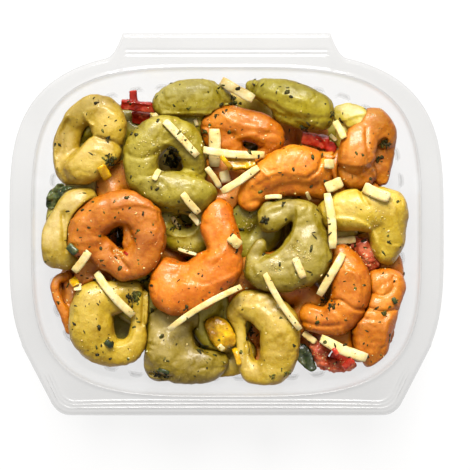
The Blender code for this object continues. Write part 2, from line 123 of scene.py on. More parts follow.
def hashed(x, y, z, seed):
    """A repeatable random value from -1 to 1 for every whole-numbered place."""
    mixed = (x * 374761393 + y * 668265263 + z * 1274126177 + seed * 144665) & 0xFFFFFFFF
    mixed = ((mixed ^ (mixed >> 13)) * 1274126177) & 0xFFFFFFFF
    mixed = ((mixed ^ (mixed >> 15)) * 668265263) & 0xFFFFFFFF
    return ((mixed >> 8) & 0xFFFF) / 32767.5 - 1.0


def lumps(points, size, seed):
    """Smooth random values from -1 to 1, whose bumps are about size across."""
    cell = points / size + 1000.0
    base = np.floor(cell).astype(np.int64)
    blend = cell - base
    blend = blend * blend * (3.0 - 2.0 * blend)
    total = np.zeros(len(points))
    for corner in range(8):
        step = np.array([corner & 1, corner >> 1 & 1, corner >> 2 & 1])
        weight = np.prod(np.where(step == 1, blend, 1.0 - blend), axis=1)
        x, y, z = (base + step).T
        total += weight * hashed(x, y, z, seed)
    return total


def smooth_path(points, parts=3):
    """Rows along a smooth curve through the given rows of (x, y, ...)."""
    rows = np.array(points, float)
    if len(rows) < 3:
        return rows
    before = np.vstack([2 * rows[0] - rows[1], rows[:-1]])
    after = np.vstack([rows[1:], 2 * rows[-1] - rows[-2]])
    slope = (after - before) / 2
    path = []
    for index in range(len(rows) - 1):
        for step in range(parts):
            t = step / parts
            path.append(
                (2 * t ** 3 - 3 * t ** 2 + 1) * rows[index]
                + (t ** 3 - 2 * t ** 2 + t) * slope[index]
                + (3 * t ** 2 - 2 * t ** 3) * rows[index + 1]
                + (t ** 3 - t ** 2) * slope[index + 1]
            )
    path.append(rows[-1])
    return np.array(path)


def limb_field(points, path, flat):
    """The distance to a limb: a chain of cones of (x, y, z, radius), flattened and full."""
    stretch = np.array([1.0, 1.0, 1.0 / flat])
    best = np.full(len(points), np.inf)
    scaled = points * stretch
    for start, end in zip(path, path[1:] if len(path) > 1 else path):
        a = start[:3] * stretch
        along = end[:3] * stretch - a
        share = np.clip((scaled - a) @ along / max(along @ along, 1e-9), 0.0, 1.0)
        away = np.abs(scaled - a - share[:, None] * along)
        aside = np.hypot(away[:, 0], away[:, 1])
        radius = start[3] + share * (end[3] - start[3])
        reach = (aside ** FULLNESS + away[:, 2] ** FULLNESS) ** (1.0 / FULLNESS)
        best = np.minimum(best, reach - radius)
    return best


def slab_field(points, slab):
    """The distance to a box of (x, y, z, length, width, thickness, turn, pitch, roll)."""
    middle, size, angles = slab[:3], slab[3:6], np.radians(slab[6:9])
    turned = points - middle
    for axis, angle in ((2, angles[0]), (1, angles[1]), (0, angles[2])):
        first, second = (axis + 1) % 3, (axis + 2) % 3
        cosine, sine = math.cos(angle), math.sin(angle)
        east, north = turned[:, first].copy(), turned[:, second].copy()
        turned[:, first] = east * cosine + north * sine
        turned[:, second] = north * cosine - east * sine
    away = np.abs(turned) - size / 2 + SLAB_ROUNDING
    outside = np.linalg.norm(np.maximum(away, 0.0), axis=1)
    return outside + np.minimum(away.max(axis=1), 0.0) - SLAB_ROUNDING


def plan_distance(points, path):
    """The distance seen from above to a path of (x, y)."""
    best = np.full(len(points), np.inf)
    for start, end in zip(path, path[1:]):
        along = end - start
        share = np.clip((points[:, :2] - start) @ along / max(along @ along, 1e-9), 0.0, 1.0)
        away = points[:, :2] - start - share[:, None] * along
        best = np.minimum(best, np.sqrt((away * away).sum(axis=1)))
    return best


def fold_height(points, path, fade):
    """A sharp step up, from 0 to 1, on the left of a path of (x, y), that fades further left."""
    best = np.full(len(points), np.inf)
    side = np.zeros(len(points))
    past = np.zeros(len(points))
    last = len(path) - 2
    for index, (start, end) in enumerate(zip(path, path[1:])):
        length = max(math.dist(start, end), 1e-6)
        unit = (end - start) / length
        offset = points[:, :2] - start
        run = offset @ unit
        held = np.clip(run, 0.0, length)
        away = np.linalg.norm(offset - held[:, None] * unit, axis=1)
        closer = away < best
        best = np.where(closer, away, best)
        side = np.where(closer, unit[0] * offset[:, 1] - unit[1] * offset[:, 0], side)
        beyond = np.zeros(len(points))
        if index == 0:
            beyond += np.maximum(-run, 0.0)
        if index == last:
            beyond += np.maximum(run - length, 0.0)
        past = np.where(closer, beyond, past)
    step = 1.0 / (1.0 + np.exp(np.clip(-side / FOLD_EDGE, -30, 30)))
    return step * np.exp(-np.maximum(side, 0.0) / fade) * np.exp(-((past / 0.9) ** 2))


def wall_inset(height):
    """How far inside the rim's outline the tray's wall stands at each height."""
    heights = (FOOT_HEIGHT, FLUTE_TOP, SHOULDER, TRAY_HEIGHT)
    insets = (FOOT_INSET, FLUTE_TOP_INSET, SHOULDER_INSET, 0.0)
    return np.interp(height, heights, insets)


def room_field(points):
    """The distance to the tray's inside, from its wall, its flutes' tips and its base."""
    inset = wall_inset(points[:, 2]) + PRESS_GAP
    inset += FLUTE_DEPTH * np.clip((SHOULDER + 1.0 - points[:, 2]) / 4.0, 0.0, 1.0)
    x = np.abs(points[:, 0] - MIDDLE_X) / (OPENING_LENGTH / 2 - inset)
    y = np.abs(points[:, 1] - MIDDLE_Y) / (OPENING_WIDTH / 2 - inset)
    squared = (x ** OPENING_SQUARENESS + y ** OPENING_SQUARENESS) ** (1 / OPENING_SQUARENESS)
    wall = (squared - 1.0) * OPENING_WIDTH / 2
    return np.maximum(wall, SHEET + PRESS_GAP - points[:, 2])


# ---------------------------------------------------------------- pieces of food

# For each kind: its flattening, how deep its lumps are and how wide, the depth of its fine
# grain, and the depth of the creases that wander over it.
KINDS = {
    "egg": (0.86, 0.42, 6.0, 0.07, 0.32),
    "spinach": (0.86, 0.46, 5.0, 0.09, 0.38),
    "tomato_piece": (0.9, 0.7, 1.9, 0.35, 0.0),
    "spinach_leaf": (1.0, 0.0, 3.0, 0.05, 0.0),
    "tomato": (0.86, 0.44, 5.4, 0.09, 0.34),
    "red_pepper": (0.8, 0.3, 3.2, 0.06, 0.2),
    "yellow_pepper": (0.8, 0.3, 2.5, 0.1, 0.2),
}


class Morsel:
    """One soft piece of food: limbs round any hole, marks on its top, and cuts.

    A limb or a cut is a list of (x, y, z, radius), joined by a smooth curve. Limbs merge
    with a crease. A mark is (height, width, (x, y), ...): a ridge along a curve on the
    piece's upper side, or a groove where its height is negative. A fold is (height, fade,
    (x, y), ...): a sheet whose edge runs along the curve and which lies to its left.
    """

    def __init__(self, name, limbs=(), marks=(), folds=(), cuts=(), slabs=(), height=None, seed=0):
        self.name = name
        self.kind = max((kind for kind in KINDS if name.startswith(kind)), key=len)
        self.seed = seed
        if height is None:
            low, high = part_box(name)
            height = (low.z + high.z) / 2 / MM
        place = np.array([MIDDLE_X, MIDDLE_Y, height, 0.0])
        spread = np.array([SPREAD, SPREAD, 1.0, 1.0])
        self.height = height
        self.limbs = [smooth_path(limb) * spread + place for limb in limbs]
        self.cuts = [smooth_path(cut) * spread + place for cut in cuts]
        self.marks = []
        for tall, width, *path in marks:
            self.marks.append((tall, width, smooth_path(path) * SPREAD + place[:2]))
        self.folds = []
        for tall, fade, *path in folds:
            self.folds.append((tall, fade, smooth_path(path) * SPREAD + place[:2]))
        self.slabs = []
        for slab in slabs:
            self.slabs.append(np.array(slab, float) * (SPREAD, SPREAD, 1, 1, 1, 1, 1, 1, 1))
            self.slabs[-1][:3] += place[:3]
        everything = list(self.limbs)
        everything += [np.array([[*slab[:3], np.linalg.norm(slab[3:6]) / 2]]) for slab in self.slabs]
        everything = np.vstack(everything)
        reach = everything[:, 3:] + 1.2
        self.low = (everything[:, :3] - reach).min(axis=0)
        self.high = (everything[:, :3] + reach).max(axis=0)

    def field(self, points):
        flat = KINDS[self.kind][0]
        total = None
        for path in self.limbs:
            limb = limb_field(points, path, flat)
            total = limb if total is None else smooth_min(total, limb, CREASE)
        for slab in self.slabs:
            box = slab_field(points, slab)
            total = box if total is None else smooth_min(total, box, 0.4)
        for path in self.cuts:
            total = smooth_max(total, -limb_field(points, path, 1.0), 0.5)
        return total

    def near(self, points):
        return ((points > self.low) & (points < self.high)).all(axis=1)

    def relief(self, points):
        """How far the piece's own unevenness and its marks stand out of the plain field."""
        _, depth, size, grain, crease = KINDS[self.kind]
        broad = lumps(points, size, self.seed)
        middling = lumps(points, size / 2.3, self.seed + 50)
        out = depth * (broad + 0.4 * middling) + grain * lumps(points, 1.1, self.seed + 90)
        wander = lumps(points, size * 1.3, self.seed + 130) + 0.35 * middling
        out -= crease * np.exp(-((wander / 0.10) ** 2)) * np.clip(0.6 + broad, 0.0, 1.0)
        upper = np.clip((points[:, 2] - self.height + 2.0) / 2.0, 0.0, 1.0)
        for tall, width, path in self.marks:
            out += tall * upper * np.exp(-((plan_distance(points, path) / width) ** 2))
        for tall, fade, path in self.folds:
            out += FOLD_STRENGTH * tall * upper * fold_height(points, path, fade)
        return out


class Leaf(Morsel):
    """A scrap of leaf: a thin crinkled sheet inside its limbs' outline, seen from above."""

    def __init__(self, name, limbs, slope, crinkle, **others):
        super().__init__(name, limbs, **others)
        self.slope = slope
        self.crinkle = crinkle
        middle = (self.low + self.high) / 2
        tall = np.abs(np.array(slope)) @ (self.high - middle)[:2] + 2.0
        self.low[2], self.high[2] = self.height - tall, self.height + tall

    def field(self, points):
        flat_points = points * (1, 1, 0) + (0, 0, self.height)
        outline = super().field(flat_points) + 0.5 * lumps(flat_points, 1.6, self.seed + 3)
        middle = (self.low + self.high) / 2
        sheet = self.height + (points - middle)[:, :2] @ np.array(self.slope)
        sheet += self.crinkle * lumps(flat_points, 3.2, self.seed)
        sheet += 0.5 * self.crinkle * np.abs(lumps(flat_points, 1.7, self.seed + 9))
        return smooth_max(outline, np.abs(points[:, 2] - sheet) - LEAF_THICKNESS / 2, 0.3)


def grid_of(low, high, cell):
    counts = np.ceil((high - low) / cell).astype(int) + 1
    axes = [low[axis] + cell * np.arange(counts[axis]) for axis in range(3)]
    points = np.stack(np.meshgrid(*axes, indexing="ij"), axis=-1).reshape(-1, 3)
    return points, counts


def net(values, low, cell):
    """Points and quads of the surface where the values are 0, one point to a crossed cell."""
    inside = values < 0
    cells = tuple(count - 1 for count in values.shape)
    total = np.zeros(cells + (3,))
    crossings = np.zeros(cells)
    crossed_edges = []
    for axis in range(3):
        starts = [slice(None)] * 3
        ends = [slice(None)] * 3
        starts[axis] = slice(None, -1)
        ends[axis] = slice(1, None)
        first, second = values[tuple(starts)], values[tuple(ends)]
        crossed = inside[tuple(starts)] != inside[tuple(ends)]
        share = np.where(crossed, first / np.where(crossed, first - second, 1.0), 0.0)
        crossed_edges.append(crossed)
        others = [other for other in range(3) if other != axis]
        for near in (0, 1):
            for far in (0, 1):
                window = [slice(None)] * 3
                window[others[0]] = slice(near, near + cells[others[0]])
                window[others[1]] = slice(far, far + cells[others[1]])
                here = crossed[tuple(window)]
                crossings += here
                total[..., axis] += share[tuple(window)] * here
                total[..., others[0]] += near * here
                total[..., others[1]] += far * here
    used = crossings > 0
    number = np.full(cells, -1)
    number[used] = np.arange(used.sum())
    corner = np.stack(np.nonzero(used), axis=1)
    points = low + cell * (corner + total[used] / crossings[used][:, None])
    quads = []
    for axis in range(3):
        others = [(axis + 1) % 3, (axis + 2) % 3]
        found = np.stack(np.nonzero(crossed_edges[axis]), axis=1)
        kept = np.ones(len(found), bool)
        for other in others:
            kept &= (found[:, other] > 0) & (found[:, other] < cells[other])
        found = found[kept]
        round_edge = []
        for near, far in ((0, 0), (1, 0), (1, 1), (0, 1)):
            cell_index = found.copy()
            cell_index[:, others[0]] += near - 1
            cell_index[:, others[1]] += far - 1
            round_edge.append(number[tuple(cell_index.T)])
        quad = np.stack(round_edge, axis=1)
        leaving = inside[tuple(found.T)]
        quads.append(np.where(leaving[:, None], quad, quad[:, ::-1]))
    return points, np.vstack(quads)


def settled(points, values, low, cell):
    """Points moved along the field's slope onto the surface where it is 0."""
    slopes = np.stack(np.gradient(values, cell), axis=-1)
    place = (points - low) / cell
    base = np.clip(np.floor(place).astype(int), 0, np.array(values.shape) - 2)
    blend = place - base
    value = np.zeros(len(points))
    slope = np.zeros((len(points), 3))
    for corner in range(8):
        step = np.array([corner & 1, corner >> 1 & 1, corner >> 2 & 1])
        weight = np.prod(np.where(step == 1, blend, 1.0 - blend), axis=1)
        index = tuple((base + step).T)
        value += weight * values[index]
        slope += weight[:, None] * slopes[index]
    steep = np.maximum((slope * slope).sum(axis=1), 0.25)
    move = (value / steep)[:, None] * slope
    far = np.linalg.norm(move, axis=1)
    return points - move * np.minimum(1.0, 0.5 * cell / np.maximum(far, 1e-9))[:, None]


def without_crumbs(points, quads):
    """The surface without the small islands that a dent has cut off."""
    label = np.arange(len(points))
    ends = np.vstack([quads[:, [0, 1]], quads[:, [1, 2]], quads[:, [2, 3]]])
    while True:
        lower = np.minimum(label[ends[:, 0]], label[ends[:, 1]])
        fresh = label.copy()
        np.minimum.at(fresh, ends[:, 0], lower)
        np.minimum.at(fresh, ends[:, 1], lower)
        fresh = fresh[fresh]
        if (fresh == label).all():
            break
        label = fresh
    kept = np.bincount(label, minlength=len(points))[label] >= LEAST_ISLAND
    number = np.cumsum(kept) - 1
    return points[kept], number[quads[kept[quads[:, 0]]]]


def pressed_mesh(piece, above, cell):
    """The piece's mesh, dented by the pieces above it and held in by the tray's wall."""
    points, counts = grid_of(piece.low, piece.high, cell)
    values = piece.field(points)
    band = values < 1.0 + 2.5 * cell
    near = points[band]
    held = values[band] - piece.relief(near)
    for other in above:
        close = other.near(near)
        if not close.any():
            continue
        press = other.field(near[close]) - PRESS_GAP
        held[close] = smooth_max(held[close], -press, PRESS_ROUNDING)
    held = smooth_max(held, room_field(near), PRESS_ROUNDING)
    values[band] = held
    values = values.reshape(counts)
    edge = np.ones(values.shape, bool)
    edge[1:-1, 1:-1, 1:-1] = False
    values[edge] = np.maximum(values[edge], cell)
    corners, quads = net(values, piece.low, cell)
    return without_crumbs(settled(corners, values, piece.low, cell), quads)


# ---------------------------------------------------------------- materials


class Nodes:
    """A new material's node tree, with short ways to add to it."""

    def __init__(self, name):
        self.material = bpy.data.materials.new(name)
        self.material.use_nodes = True
        self.tree = self.material.node_tree
        self.shader = self.tree.nodes["Principled BSDF"]
        self.place = self.add("ShaderNodeTexCoord").outputs["Object"]

    def add(self, kind, **settings):
        node = self.tree.nodes.new(kind)
        for key, value in settings.items():
            setattr(node, key, value)
        return node

    def link(self, output, target):
        self.tree.links.new(output, target)

    def set(self, **values):
        for key, value in values.items():
            self.shader.inputs[key.replace("_", " ")].default_value = value

    def noise(self, size, detail=3.0, roughness=0.5, stretch=(1, 1, 1)):
        """Noise from 0 to 1 whose bumps are about size millimetres across."""
        mapping = self.add("ShaderNodeMapping")
        mapping.inputs["Scale"].default_value = stretch
        self.link(self.place, mapping.inputs["Vector"])
        noise = self.add("ShaderNodeTexNoise")
        noise.inputs["Scale"].default_value = 1.0 / (size * MM)
        noise.inputs["Detail"].default_value = detail
        noise.inputs["Roughness"].default_value = roughness
        self.link(mapping.outputs["Vector"], noise.inputs["Vector"])
        return noise.outputs["Fac"]

    def ramp(self, value, *stops):
        """Colours or grey levels spread over a value: each stop is (place, colour)."""
        ramp = self.add("ShaderNodeValToRGB")
        elements = ramp.color_ramp.elements
        while len(elements) < len(stops):
            elements.new(0.5)
        for element, (place, colour) in zip(elements, stops):
            element.position = place
            if not hasattr(colour, "__len__"):
                colour = (colour, colour, colour)
            element.color = (*colour, 1.0)
        self.link(value, ramp.inputs["Fac"])
        return ramp.outputs["Color"]

    def mix(self, share, first, second, blend="MIX"):
        mix = self.add("ShaderNodeMix", data_type="RGBA", blend_type=blend)
        for socket, value in ((mix.inputs[0], share), (mix.inputs[6], first), (mix.inputs[7], second)):
            if hasattr(value, "is_linked"):
                self.link(value, socket)
            elif hasattr(value, "__len__"):
                socket.default_value = (*value, 1.0)
            else:
                socket.default_value = value
        return mix.outputs[2]

    def facing(self, way):
        """How far the surface faces this way: 1 when it does, 0 from a right angle on."""
        place = self.add("ShaderNodeTexCoord")
        product = self.add("ShaderNodeVectorMath", operation="DOT_PRODUCT")
        product.inputs[1].default_value = Vector(way).normalized()
        self.link(place.outputs["Normal"], product.inputs[0])
        return product.outputs["Value"]

    def bump(self, value, height, strength=1.0):
        bump = self.add("ShaderNodeBump")
        bump.inputs["Distance"].default_value = height * MM
        bump.inputs["Strength"].default_value = strength
        self.link(value, bump.inputs["Height"])
        self.link(bump.outputs["Normal"], self.shader.inputs["Normal"])


# For each dough: its dark, middle and light tones, its pale tone for the painted highlight on faces turned up
# and back towards the key light, and the glow under its skin.
DOUGHS = {
    "egg": ((0.29, 0.175, 0.004), (0.40, 0.265, 0.012), (0.50, 0.37, 0.055),
            (0.64, 0.52, 0.19), (1.0, 0.62, 0.18)),
    "spinach": ((0.13, 0.093, 0.0008), (0.215, 0.165, 0.002), (0.33, 0.275, 0.035),
                (0.46, 0.42, 0.12), (0.8, 0.7, 0.15)),
    "tomato": ((0.30, 0.066, 0.0005), (0.42, 0.115, 0.001), (0.54, 0.20, 0.009),
               (0.65, 0.31, 0.05), (1.0, 0.35, 0.1)),
}
# How much each listed piece's dough tones are scaled in red, green and blue against the rest of its kind. For
# spinach_below_left this is painted light: it is made lighter to undo the shade it lies in, deep in the heap.
TINTS = {
    "egg_front_left": (0.88, 0.85, 0.65),
    "egg_front": (0.93, 0.91, 1.0),
    "egg_left_edge": (0.88, 0.90, 1.6),
    "egg_back_left": (0.88, 0.86, 1.05),
    "egg_back_corner": (1.35, 1.6, 3.6),
    "spinach_back_left": (1.25, 1.24, 1.8),
    "spinach_back_right": (1.16, 1.14, 0.8),
    "spinach_front": (0.88, 0.78, 1.2),
    "spinach_middle": (0.94, 0.88, 1.4),
    "spinach_left": (0.90, 0.86, 0.7),
    # Painted light: lighter than its kind to undo the shade it lies in, deep in the heap.
    "spinach_below_left": (1.4, 1.35, 1.8),
    "tomato_left": (0.78, 0.72, 0.7),
    "tomato_back": (0.89, 0.82, 0.7),
    "tomato_right_edge": (0.94, 0.90, 0.9),
    "tomato_right": (0.95, 0.87, 0.6),
    "tomato_middle": (1.04, 0.88, 0.7),
    "tomato_middle_back": (1.04, 1.05, 0.8),
    "tomato_back_corner": (0.90, 0.95, 1.5),
}
# Painted shade: the colour that multiplies the dough where it faces down or to the front, away from the key
# light.
SIDE_SHADE = (0.78, 0.66, 0.42)
# The way that the faces given a painted highlight look: up and to the back, towards the key light.
PAINTED_HIGHLIGHT_SIDE = (-0.15, 0.42, 0.9)


def dough_material(name, flavour):
    """Cooked dough: mottled, a little translucent, wet with oil, with a painted highlight where it faces up
    and back and painted shade where it faces down or to the front.
    """
    *tones, glow = DOUGHS[flavour]
    tint = TINTS.get(name, (1.0, 1.0, 1.0))
    dark, middle, light, pale = (tuple(min(c * t, 1.0) for c, t in zip(tone, tint)) for tone in tones)
    nodes = Nodes("dough_" + name)
    broad = nodes.noise(8.0, detail=4.0, roughness=0.55)
    colour = nodes.ramp(broad, (0.30, dark), (0.52, middle), (0.80, light))
    fine = nodes.noise(1.6, detail=5.0, roughness=0.65)
    colour = nodes.mix(nodes.ramp(fine, (0.46, 0.0), (0.70, 0.55)), colour, light)
    colour = nodes.mix(nodes.ramp(fine, (0.30, 0.3), (0.44, 0.0)), colour, dark)
    grains = nodes.noise(0.55, detail=2.0)
    colour = nodes.mix(nodes.ramp(grains, (0.62, 0.0), (0.74, 0.5)), colour, dark)
    facing = nodes.facing(PAINTED_HIGHLIGHT_SIDE)
    # Painted highlight: the colour is mixed towards the pale tone where the surface faces up and back,
    # towards the key light.
    colour = nodes.mix(nodes.ramp(facing, (0.78, 0.0), (1.0, 0.3)), colour, pale)
    # Painted shade: the colour is multiplied by SIDE_SHADE where the surface faces down or to the front.
    colour = nodes.mix(nodes.ramp(facing, (0.05, 1.0), (0.7, 0.0)), colour, SIDE_SHADE, "MULTIPLY")
    nodes.link(colour, nodes.shader.inputs["Base Color"])
    wet = nodes.noise(3.5, detail=3.0)
    rough = nodes.ramp(wet, (0.35, 0.26), (0.65, 0.58))
    nodes.link(rough, nodes.shader.inputs["Roughness"])
    nodes.bump(fine, 0.3, strength=1.0)
    nodes.set(
        Subsurface_Weight=0.2, Subsurface_Radius=glow, Subsurface_Scale=0.9 * MM,
        Specular_IOR_Level=0.32, Coat_Weight=0.17, Coat_Roughness=0.12, IOR=1.45,
    )
    return nodes.material


def vegetable_material(name, dark, middle, light, rough, grain, coat=0.25):
    nodes = Nodes(name)
    broad = nodes.noise(4.0, detail=5.0, roughness=0.6)
    colour = nodes.ramp(broad, (0.32, dark), (0.5, middle), (0.7, light))
    nodes.link(colour, nodes.shader.inputs["Base Color"])
    fine = nodes.noise(grain, detail=4.0)
    nodes.link(nodes.ramp(fine, (0.4, rough), (0.7, rough + 0.25)), nodes.shader.inputs["Roughness"])
    nodes.bump(fine, 0.12, strength=0.7)
    nodes.set(
        Subsurface_Weight=0.2, Subsurface_Scale=1.0 * MM, Specular_IOR_Level=0.25,
        Coat_Weight=coat, Coat_Roughness=0.1,
    )
    return nodes.material


# The stretched wall is clearer than the flange: between these heights, and by this much.
CLEAR_BELOW = 43.0
HAZY_ABOVE = 48.5
CLEAR_SHARE = (0.33, 0.33, 0.33)


def clear_material():
    """Clear thermoformed sheet: more solid to the eye at the flange and where it is seen edge on."""
    nodes = Nodes("clear_plastic")
    haze = nodes.noise(30.0, detail=2.0)
    nodes.link(
        nodes.ramp(haze, (0.3, (0.23, 0.228, 0.224)), (0.7, (0.275, 0.273, 0.27))),
        nodes.shader.inputs["Base Color"],
    )
    facing = nodes.add("ShaderNodeLayerWeight")
    facing.inputs["Blend"].default_value = 0.35
    solid = nodes.ramp(facing.outputs["Facing"], (0.0, 0.25), (0.6, 0.27), (0.97, 0.5))
    height = nodes.add("ShaderNodeSeparateXYZ")
    nodes.link(nodes.place, height.inputs["Vector"])
    below = nodes.add("ShaderNodeMapRange")
    below.inputs["From Min"].default_value = CLEAR_BELOW * MM
    below.inputs["From Max"].default_value = HAZY_ABOVE * MM
    below.inputs["To Min"].default_value = 1.0
    below.inputs["To Max"].default_value = 0.0
    nodes.link(height.outputs["Z"], below.inputs["Value"])
    solid = nodes.mix(below.outputs["Result"], solid, CLEAR_SHARE, "MULTIPLY")
    nodes.link(solid, nodes.shader.inputs["Alpha"])
    nodes.link(nodes.ramp(haze, (0.3, 0.12), (0.7, 0.24)), nodes.shader.inputs["Roughness"])
    nodes.bump(nodes.noise(6.0, detail=1.0), 0.05, strength=0.4)
    nodes.set(IOR=1.5)
    return nodes.material


def floor_material():
    """A light table: a pale floor that glows a little, so that the tray throws no dark shadow."""
    nodes = Nodes("pale_floor")
    haze = nodes.noise(200.0, detail=2.0)
    nodes.link(nodes.ramp(haze, (0.3, 0.10), (0.7, 0.11)), nodes.shader.inputs["Base Color"])
    nodes.set(Roughness=0.9, Emission_Color=(1.0, 1.0, 1.0, 1.0), Emission_Strength=0.83)
    return nodes.material


MATERIALS = {}
MATERIALS["red_pepper"] = vegetable_material(
    "red_pepper", (0.15, 0.004, 0.001), (0.38, 0.016, 0.004), (0.62, 0.13, 0.05), 0.22, 1.2)
MATERIALS["yellow_pepper"] = vegetable_material(
    "yellow_pepper", (0.20, 0.085, 0.0005), (0.40, 0.20, 0.0005), (0.66, 0.42, 0.008), 0.2, 0.9, 0.2)
MATERIALS["tomato_piece"] = vegetable_material(
    "tomato_piece", (0.14, 0.010, 0.003), (0.36, 0.055, 0.014), (0.60, 0.19, 0.08), 0.32, 0.7)
MATERIALS["spinach_leaf"] = vegetable_material(
    "spinach_leaf", (0.004, 0.008, 0.001), (0.020, 0.032, 0.004), (0.13, 0.14, 0.035), 0.4, 0.8, 0.25)
MATERIALS["cheese"] = vegetable_material(
    "cheese", (0.50, 0.35, 0.10), (0.60, 0.47, 0.19), (0.66, 0.58, 0.34), 0.45, 0.7, 0.1)
MATERIALS["herbs"] = vegetable_material(
    "herbs", (0.008, 0.005, 0.0005), (0.030, 0.026, 0.002), (0.12, 0.12, 0.012), 0.5, 0.5, 0.0)


# ---------------------------------------------------------------- objects


def material_of(name, kind):
    """The material of a kind, or a dough tinted for one piece."""
    key = name if name in TINTS else kind
    if key not in MATERIALS:
        MATERIALS[key] = dough_material(key, kind)
    return MATERIALS[key]


def add_mesh(name, points, faces, kind):
    """A piece of the model from points in millimetres."""
    mesh = bpy.data.meshes.new(name)
    mesh.from_pydata((np.asarray(points) * MM).tolist(), [], np.asarray(faces).tolist())
    mesh.validate()
    mesh.shade_smooth()
    mesh.materials.append(material_of(name.removesuffix("_look"), kind))
    obj = bpy.data.objects.new(name, mesh)
    bpy.context.scene.collection.objects.link(obj)
    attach(obj, "root")
    return obj


def joined(parts):
    """Points and faces of several meshes as one."""
    points, faces, first = [], [], 0
    for part_points, part_faces in parts:
        points.append(part_points)
        faces.append(np.asarray(part_faces) + first)
        first += len(part_points)
    return np.vstack(points), np.vstack(faces)


# ---------------------------------------------------------------- tortellini that show little


def ring_limbs(x, y, length, width, thick, turn=0.0, tilt=(0.0, 0.0)):
    """The limbs of a plain tortellino: a ring whose first end laps over the other."""
    limbs = [[], []]
    steps = 10
    for step in range(steps + 1):
        angle = math.radians(turn) + 2 * math.pi * step / steps
        from_seam = min(step, steps - step) / steps
        radius = thick / 2 * (1.08 - 0.35 * math.exp(-((step / steps - 1.0) / 0.12) ** 2))
        along = (length / 2 - thick / 2) * math.cos(angle - math.radians(turn) + 0.6)
        across = (width / 2 - thick / 2) * math.sin(angle - math.radians(turn) + 0.6)
        cosine, sine = math.cos(math.radians(turn)), math.sin(math.radians(turn))
        east = along * cosine - across * sine
        north = along * sine + across * cosine
        rise = tilt[0] * east + tilt[1] * north + (1.2 if step < 2 else 0.0) - (from_seam < 0.05)
        limbs[0].append((x + east, y + north, rise, radius))
    limbs[1] = limbs[0][-3:]
    limbs[0] = limbs[0][:-2]
    return limbs


HEAP_ROWS = 3
HEAP_SIZE = 27.0


def heap_pieces():
    """Two layers of tortellini on the tray's base and those in the gaps, for the one CAD heap."""
    rng = np.random.default_rng(41)
    flavours = ("egg", "tomato", "spinach")
    pieces = []
    for layer, (height, across, gap_x, gap_y) in enumerate(((8.0, 4, 27.0, 29.0), (18.5, 4, 28.5, 31.0))):
        for row in range(HEAP_ROWS):
            for column in range(across):
                shift = 0.25 if (row + layer) % 2 else -0.25
                x = (column - (across - 1) / 2 + shift) * gap_x + rng.uniform(-2, 2)
                y = (row - (HEAP_ROWS - 1) / 2) * gap_y + rng.uniform(-2, 2)
                tilt = rng.uniform(-0.25, 0.25, 2)
                length = HEAP_SIZE + rng.uniform(-2, 3)
                limbs = ring_limbs(
                    x, y, length, length * rng.uniform(0.8, 0.92), rng.uniform(10.5, 12.0),
                    rng.uniform(0, 360), tilt)
                flavour = flavours[(column + row + layer * 2 + int(rng.integers(2))) % 3]
                name = f"{flavour}_heap_{layer}{row}{column}"
                pieces.append(Morsel(name, limbs, height=height, seed=len(pieces) + 200))
    for height, fillers in ((DEEP_HEIGHT, DEEP_FILLERS), (FILLER_HEIGHT, GAP_FILLERS)):
        for x, y, flavour, turn in fillers:
            limbs = ring_limbs(x, y, 25.0, 21.0, 10.0, turn)
            name = f"{flavour}_filler_{len(pieces)}"
            pieces.append(Morsel(name, limbs, height=height, seed=len(pieces) + 200))
    return pieces


LOWER = [
    Morsel("egg_below_left", ring_limbs(-45, 9, 25, 22, 10.5, 20, (0.1, 0)), seed=60),
    Morsel("tomato_below_middle", ring_limbs(-12, -9, 26, 22, 10, 0, (0, 0.08)), seed=61),
    Morsel(
        "spinach_below_left", ring_limbs(-14, 5, 26, 22, 9.5, 120, (0, -0.08)),
        marks=[(1.0, 0.6, (-20, 2.6), (-19.2, -0.3), (-15.3, -1.5), (-11.1, -0.6), (-9.1, 2.6)),
               (-1.0, 1.2, (-17.6, 3), (-15, 1), (-11.6, 3))],
        seed=62,
    ),
    Morsel("spinach_below_middle", ring_limbs(9, 1, 23, 19, 9.5, 60, (0, 0.1)), seed=63),
    Morsel("egg_below_front", ring_limbs(0, -41, 20, 17, 8, 30, (-0.1, 0)), seed=64),
]
# Lower tortellini that show through the gaps: x, y, flavour, turn.
GAP_FILLERS = [
    (-1, 15, "tomato", 20), (33, -4, "egg", 70), (48, -12, "tomato", 110), (21, -25, "tomato", 40),
    (-39, -15, "tomato", 160), (-2, -27, "spinach", 80), (34, 17, "tomato", 10), (-33, 12, "tomato", 130),
    (-27, -19, "spinach", 60), (44, -32, "tomato", 150), (-50, 2, "spinach", 100), (-46, 30, "spinach", 20),
    (41, 17, "tomato", 90), (11, -17, "tomato", 30),
]
FILLER_HEIGHT = 26.5
DEEP_FILLERS = [(4, 38, "egg", 20), (-49, -23, "tomato", 90), (12, -37, "tomato", 60)]
DEEP_HEIGHT = 20.5


# ---------------------------------------------------------------- the tortellini on top
# From the lowest to the topmost: each is dented by those after it.

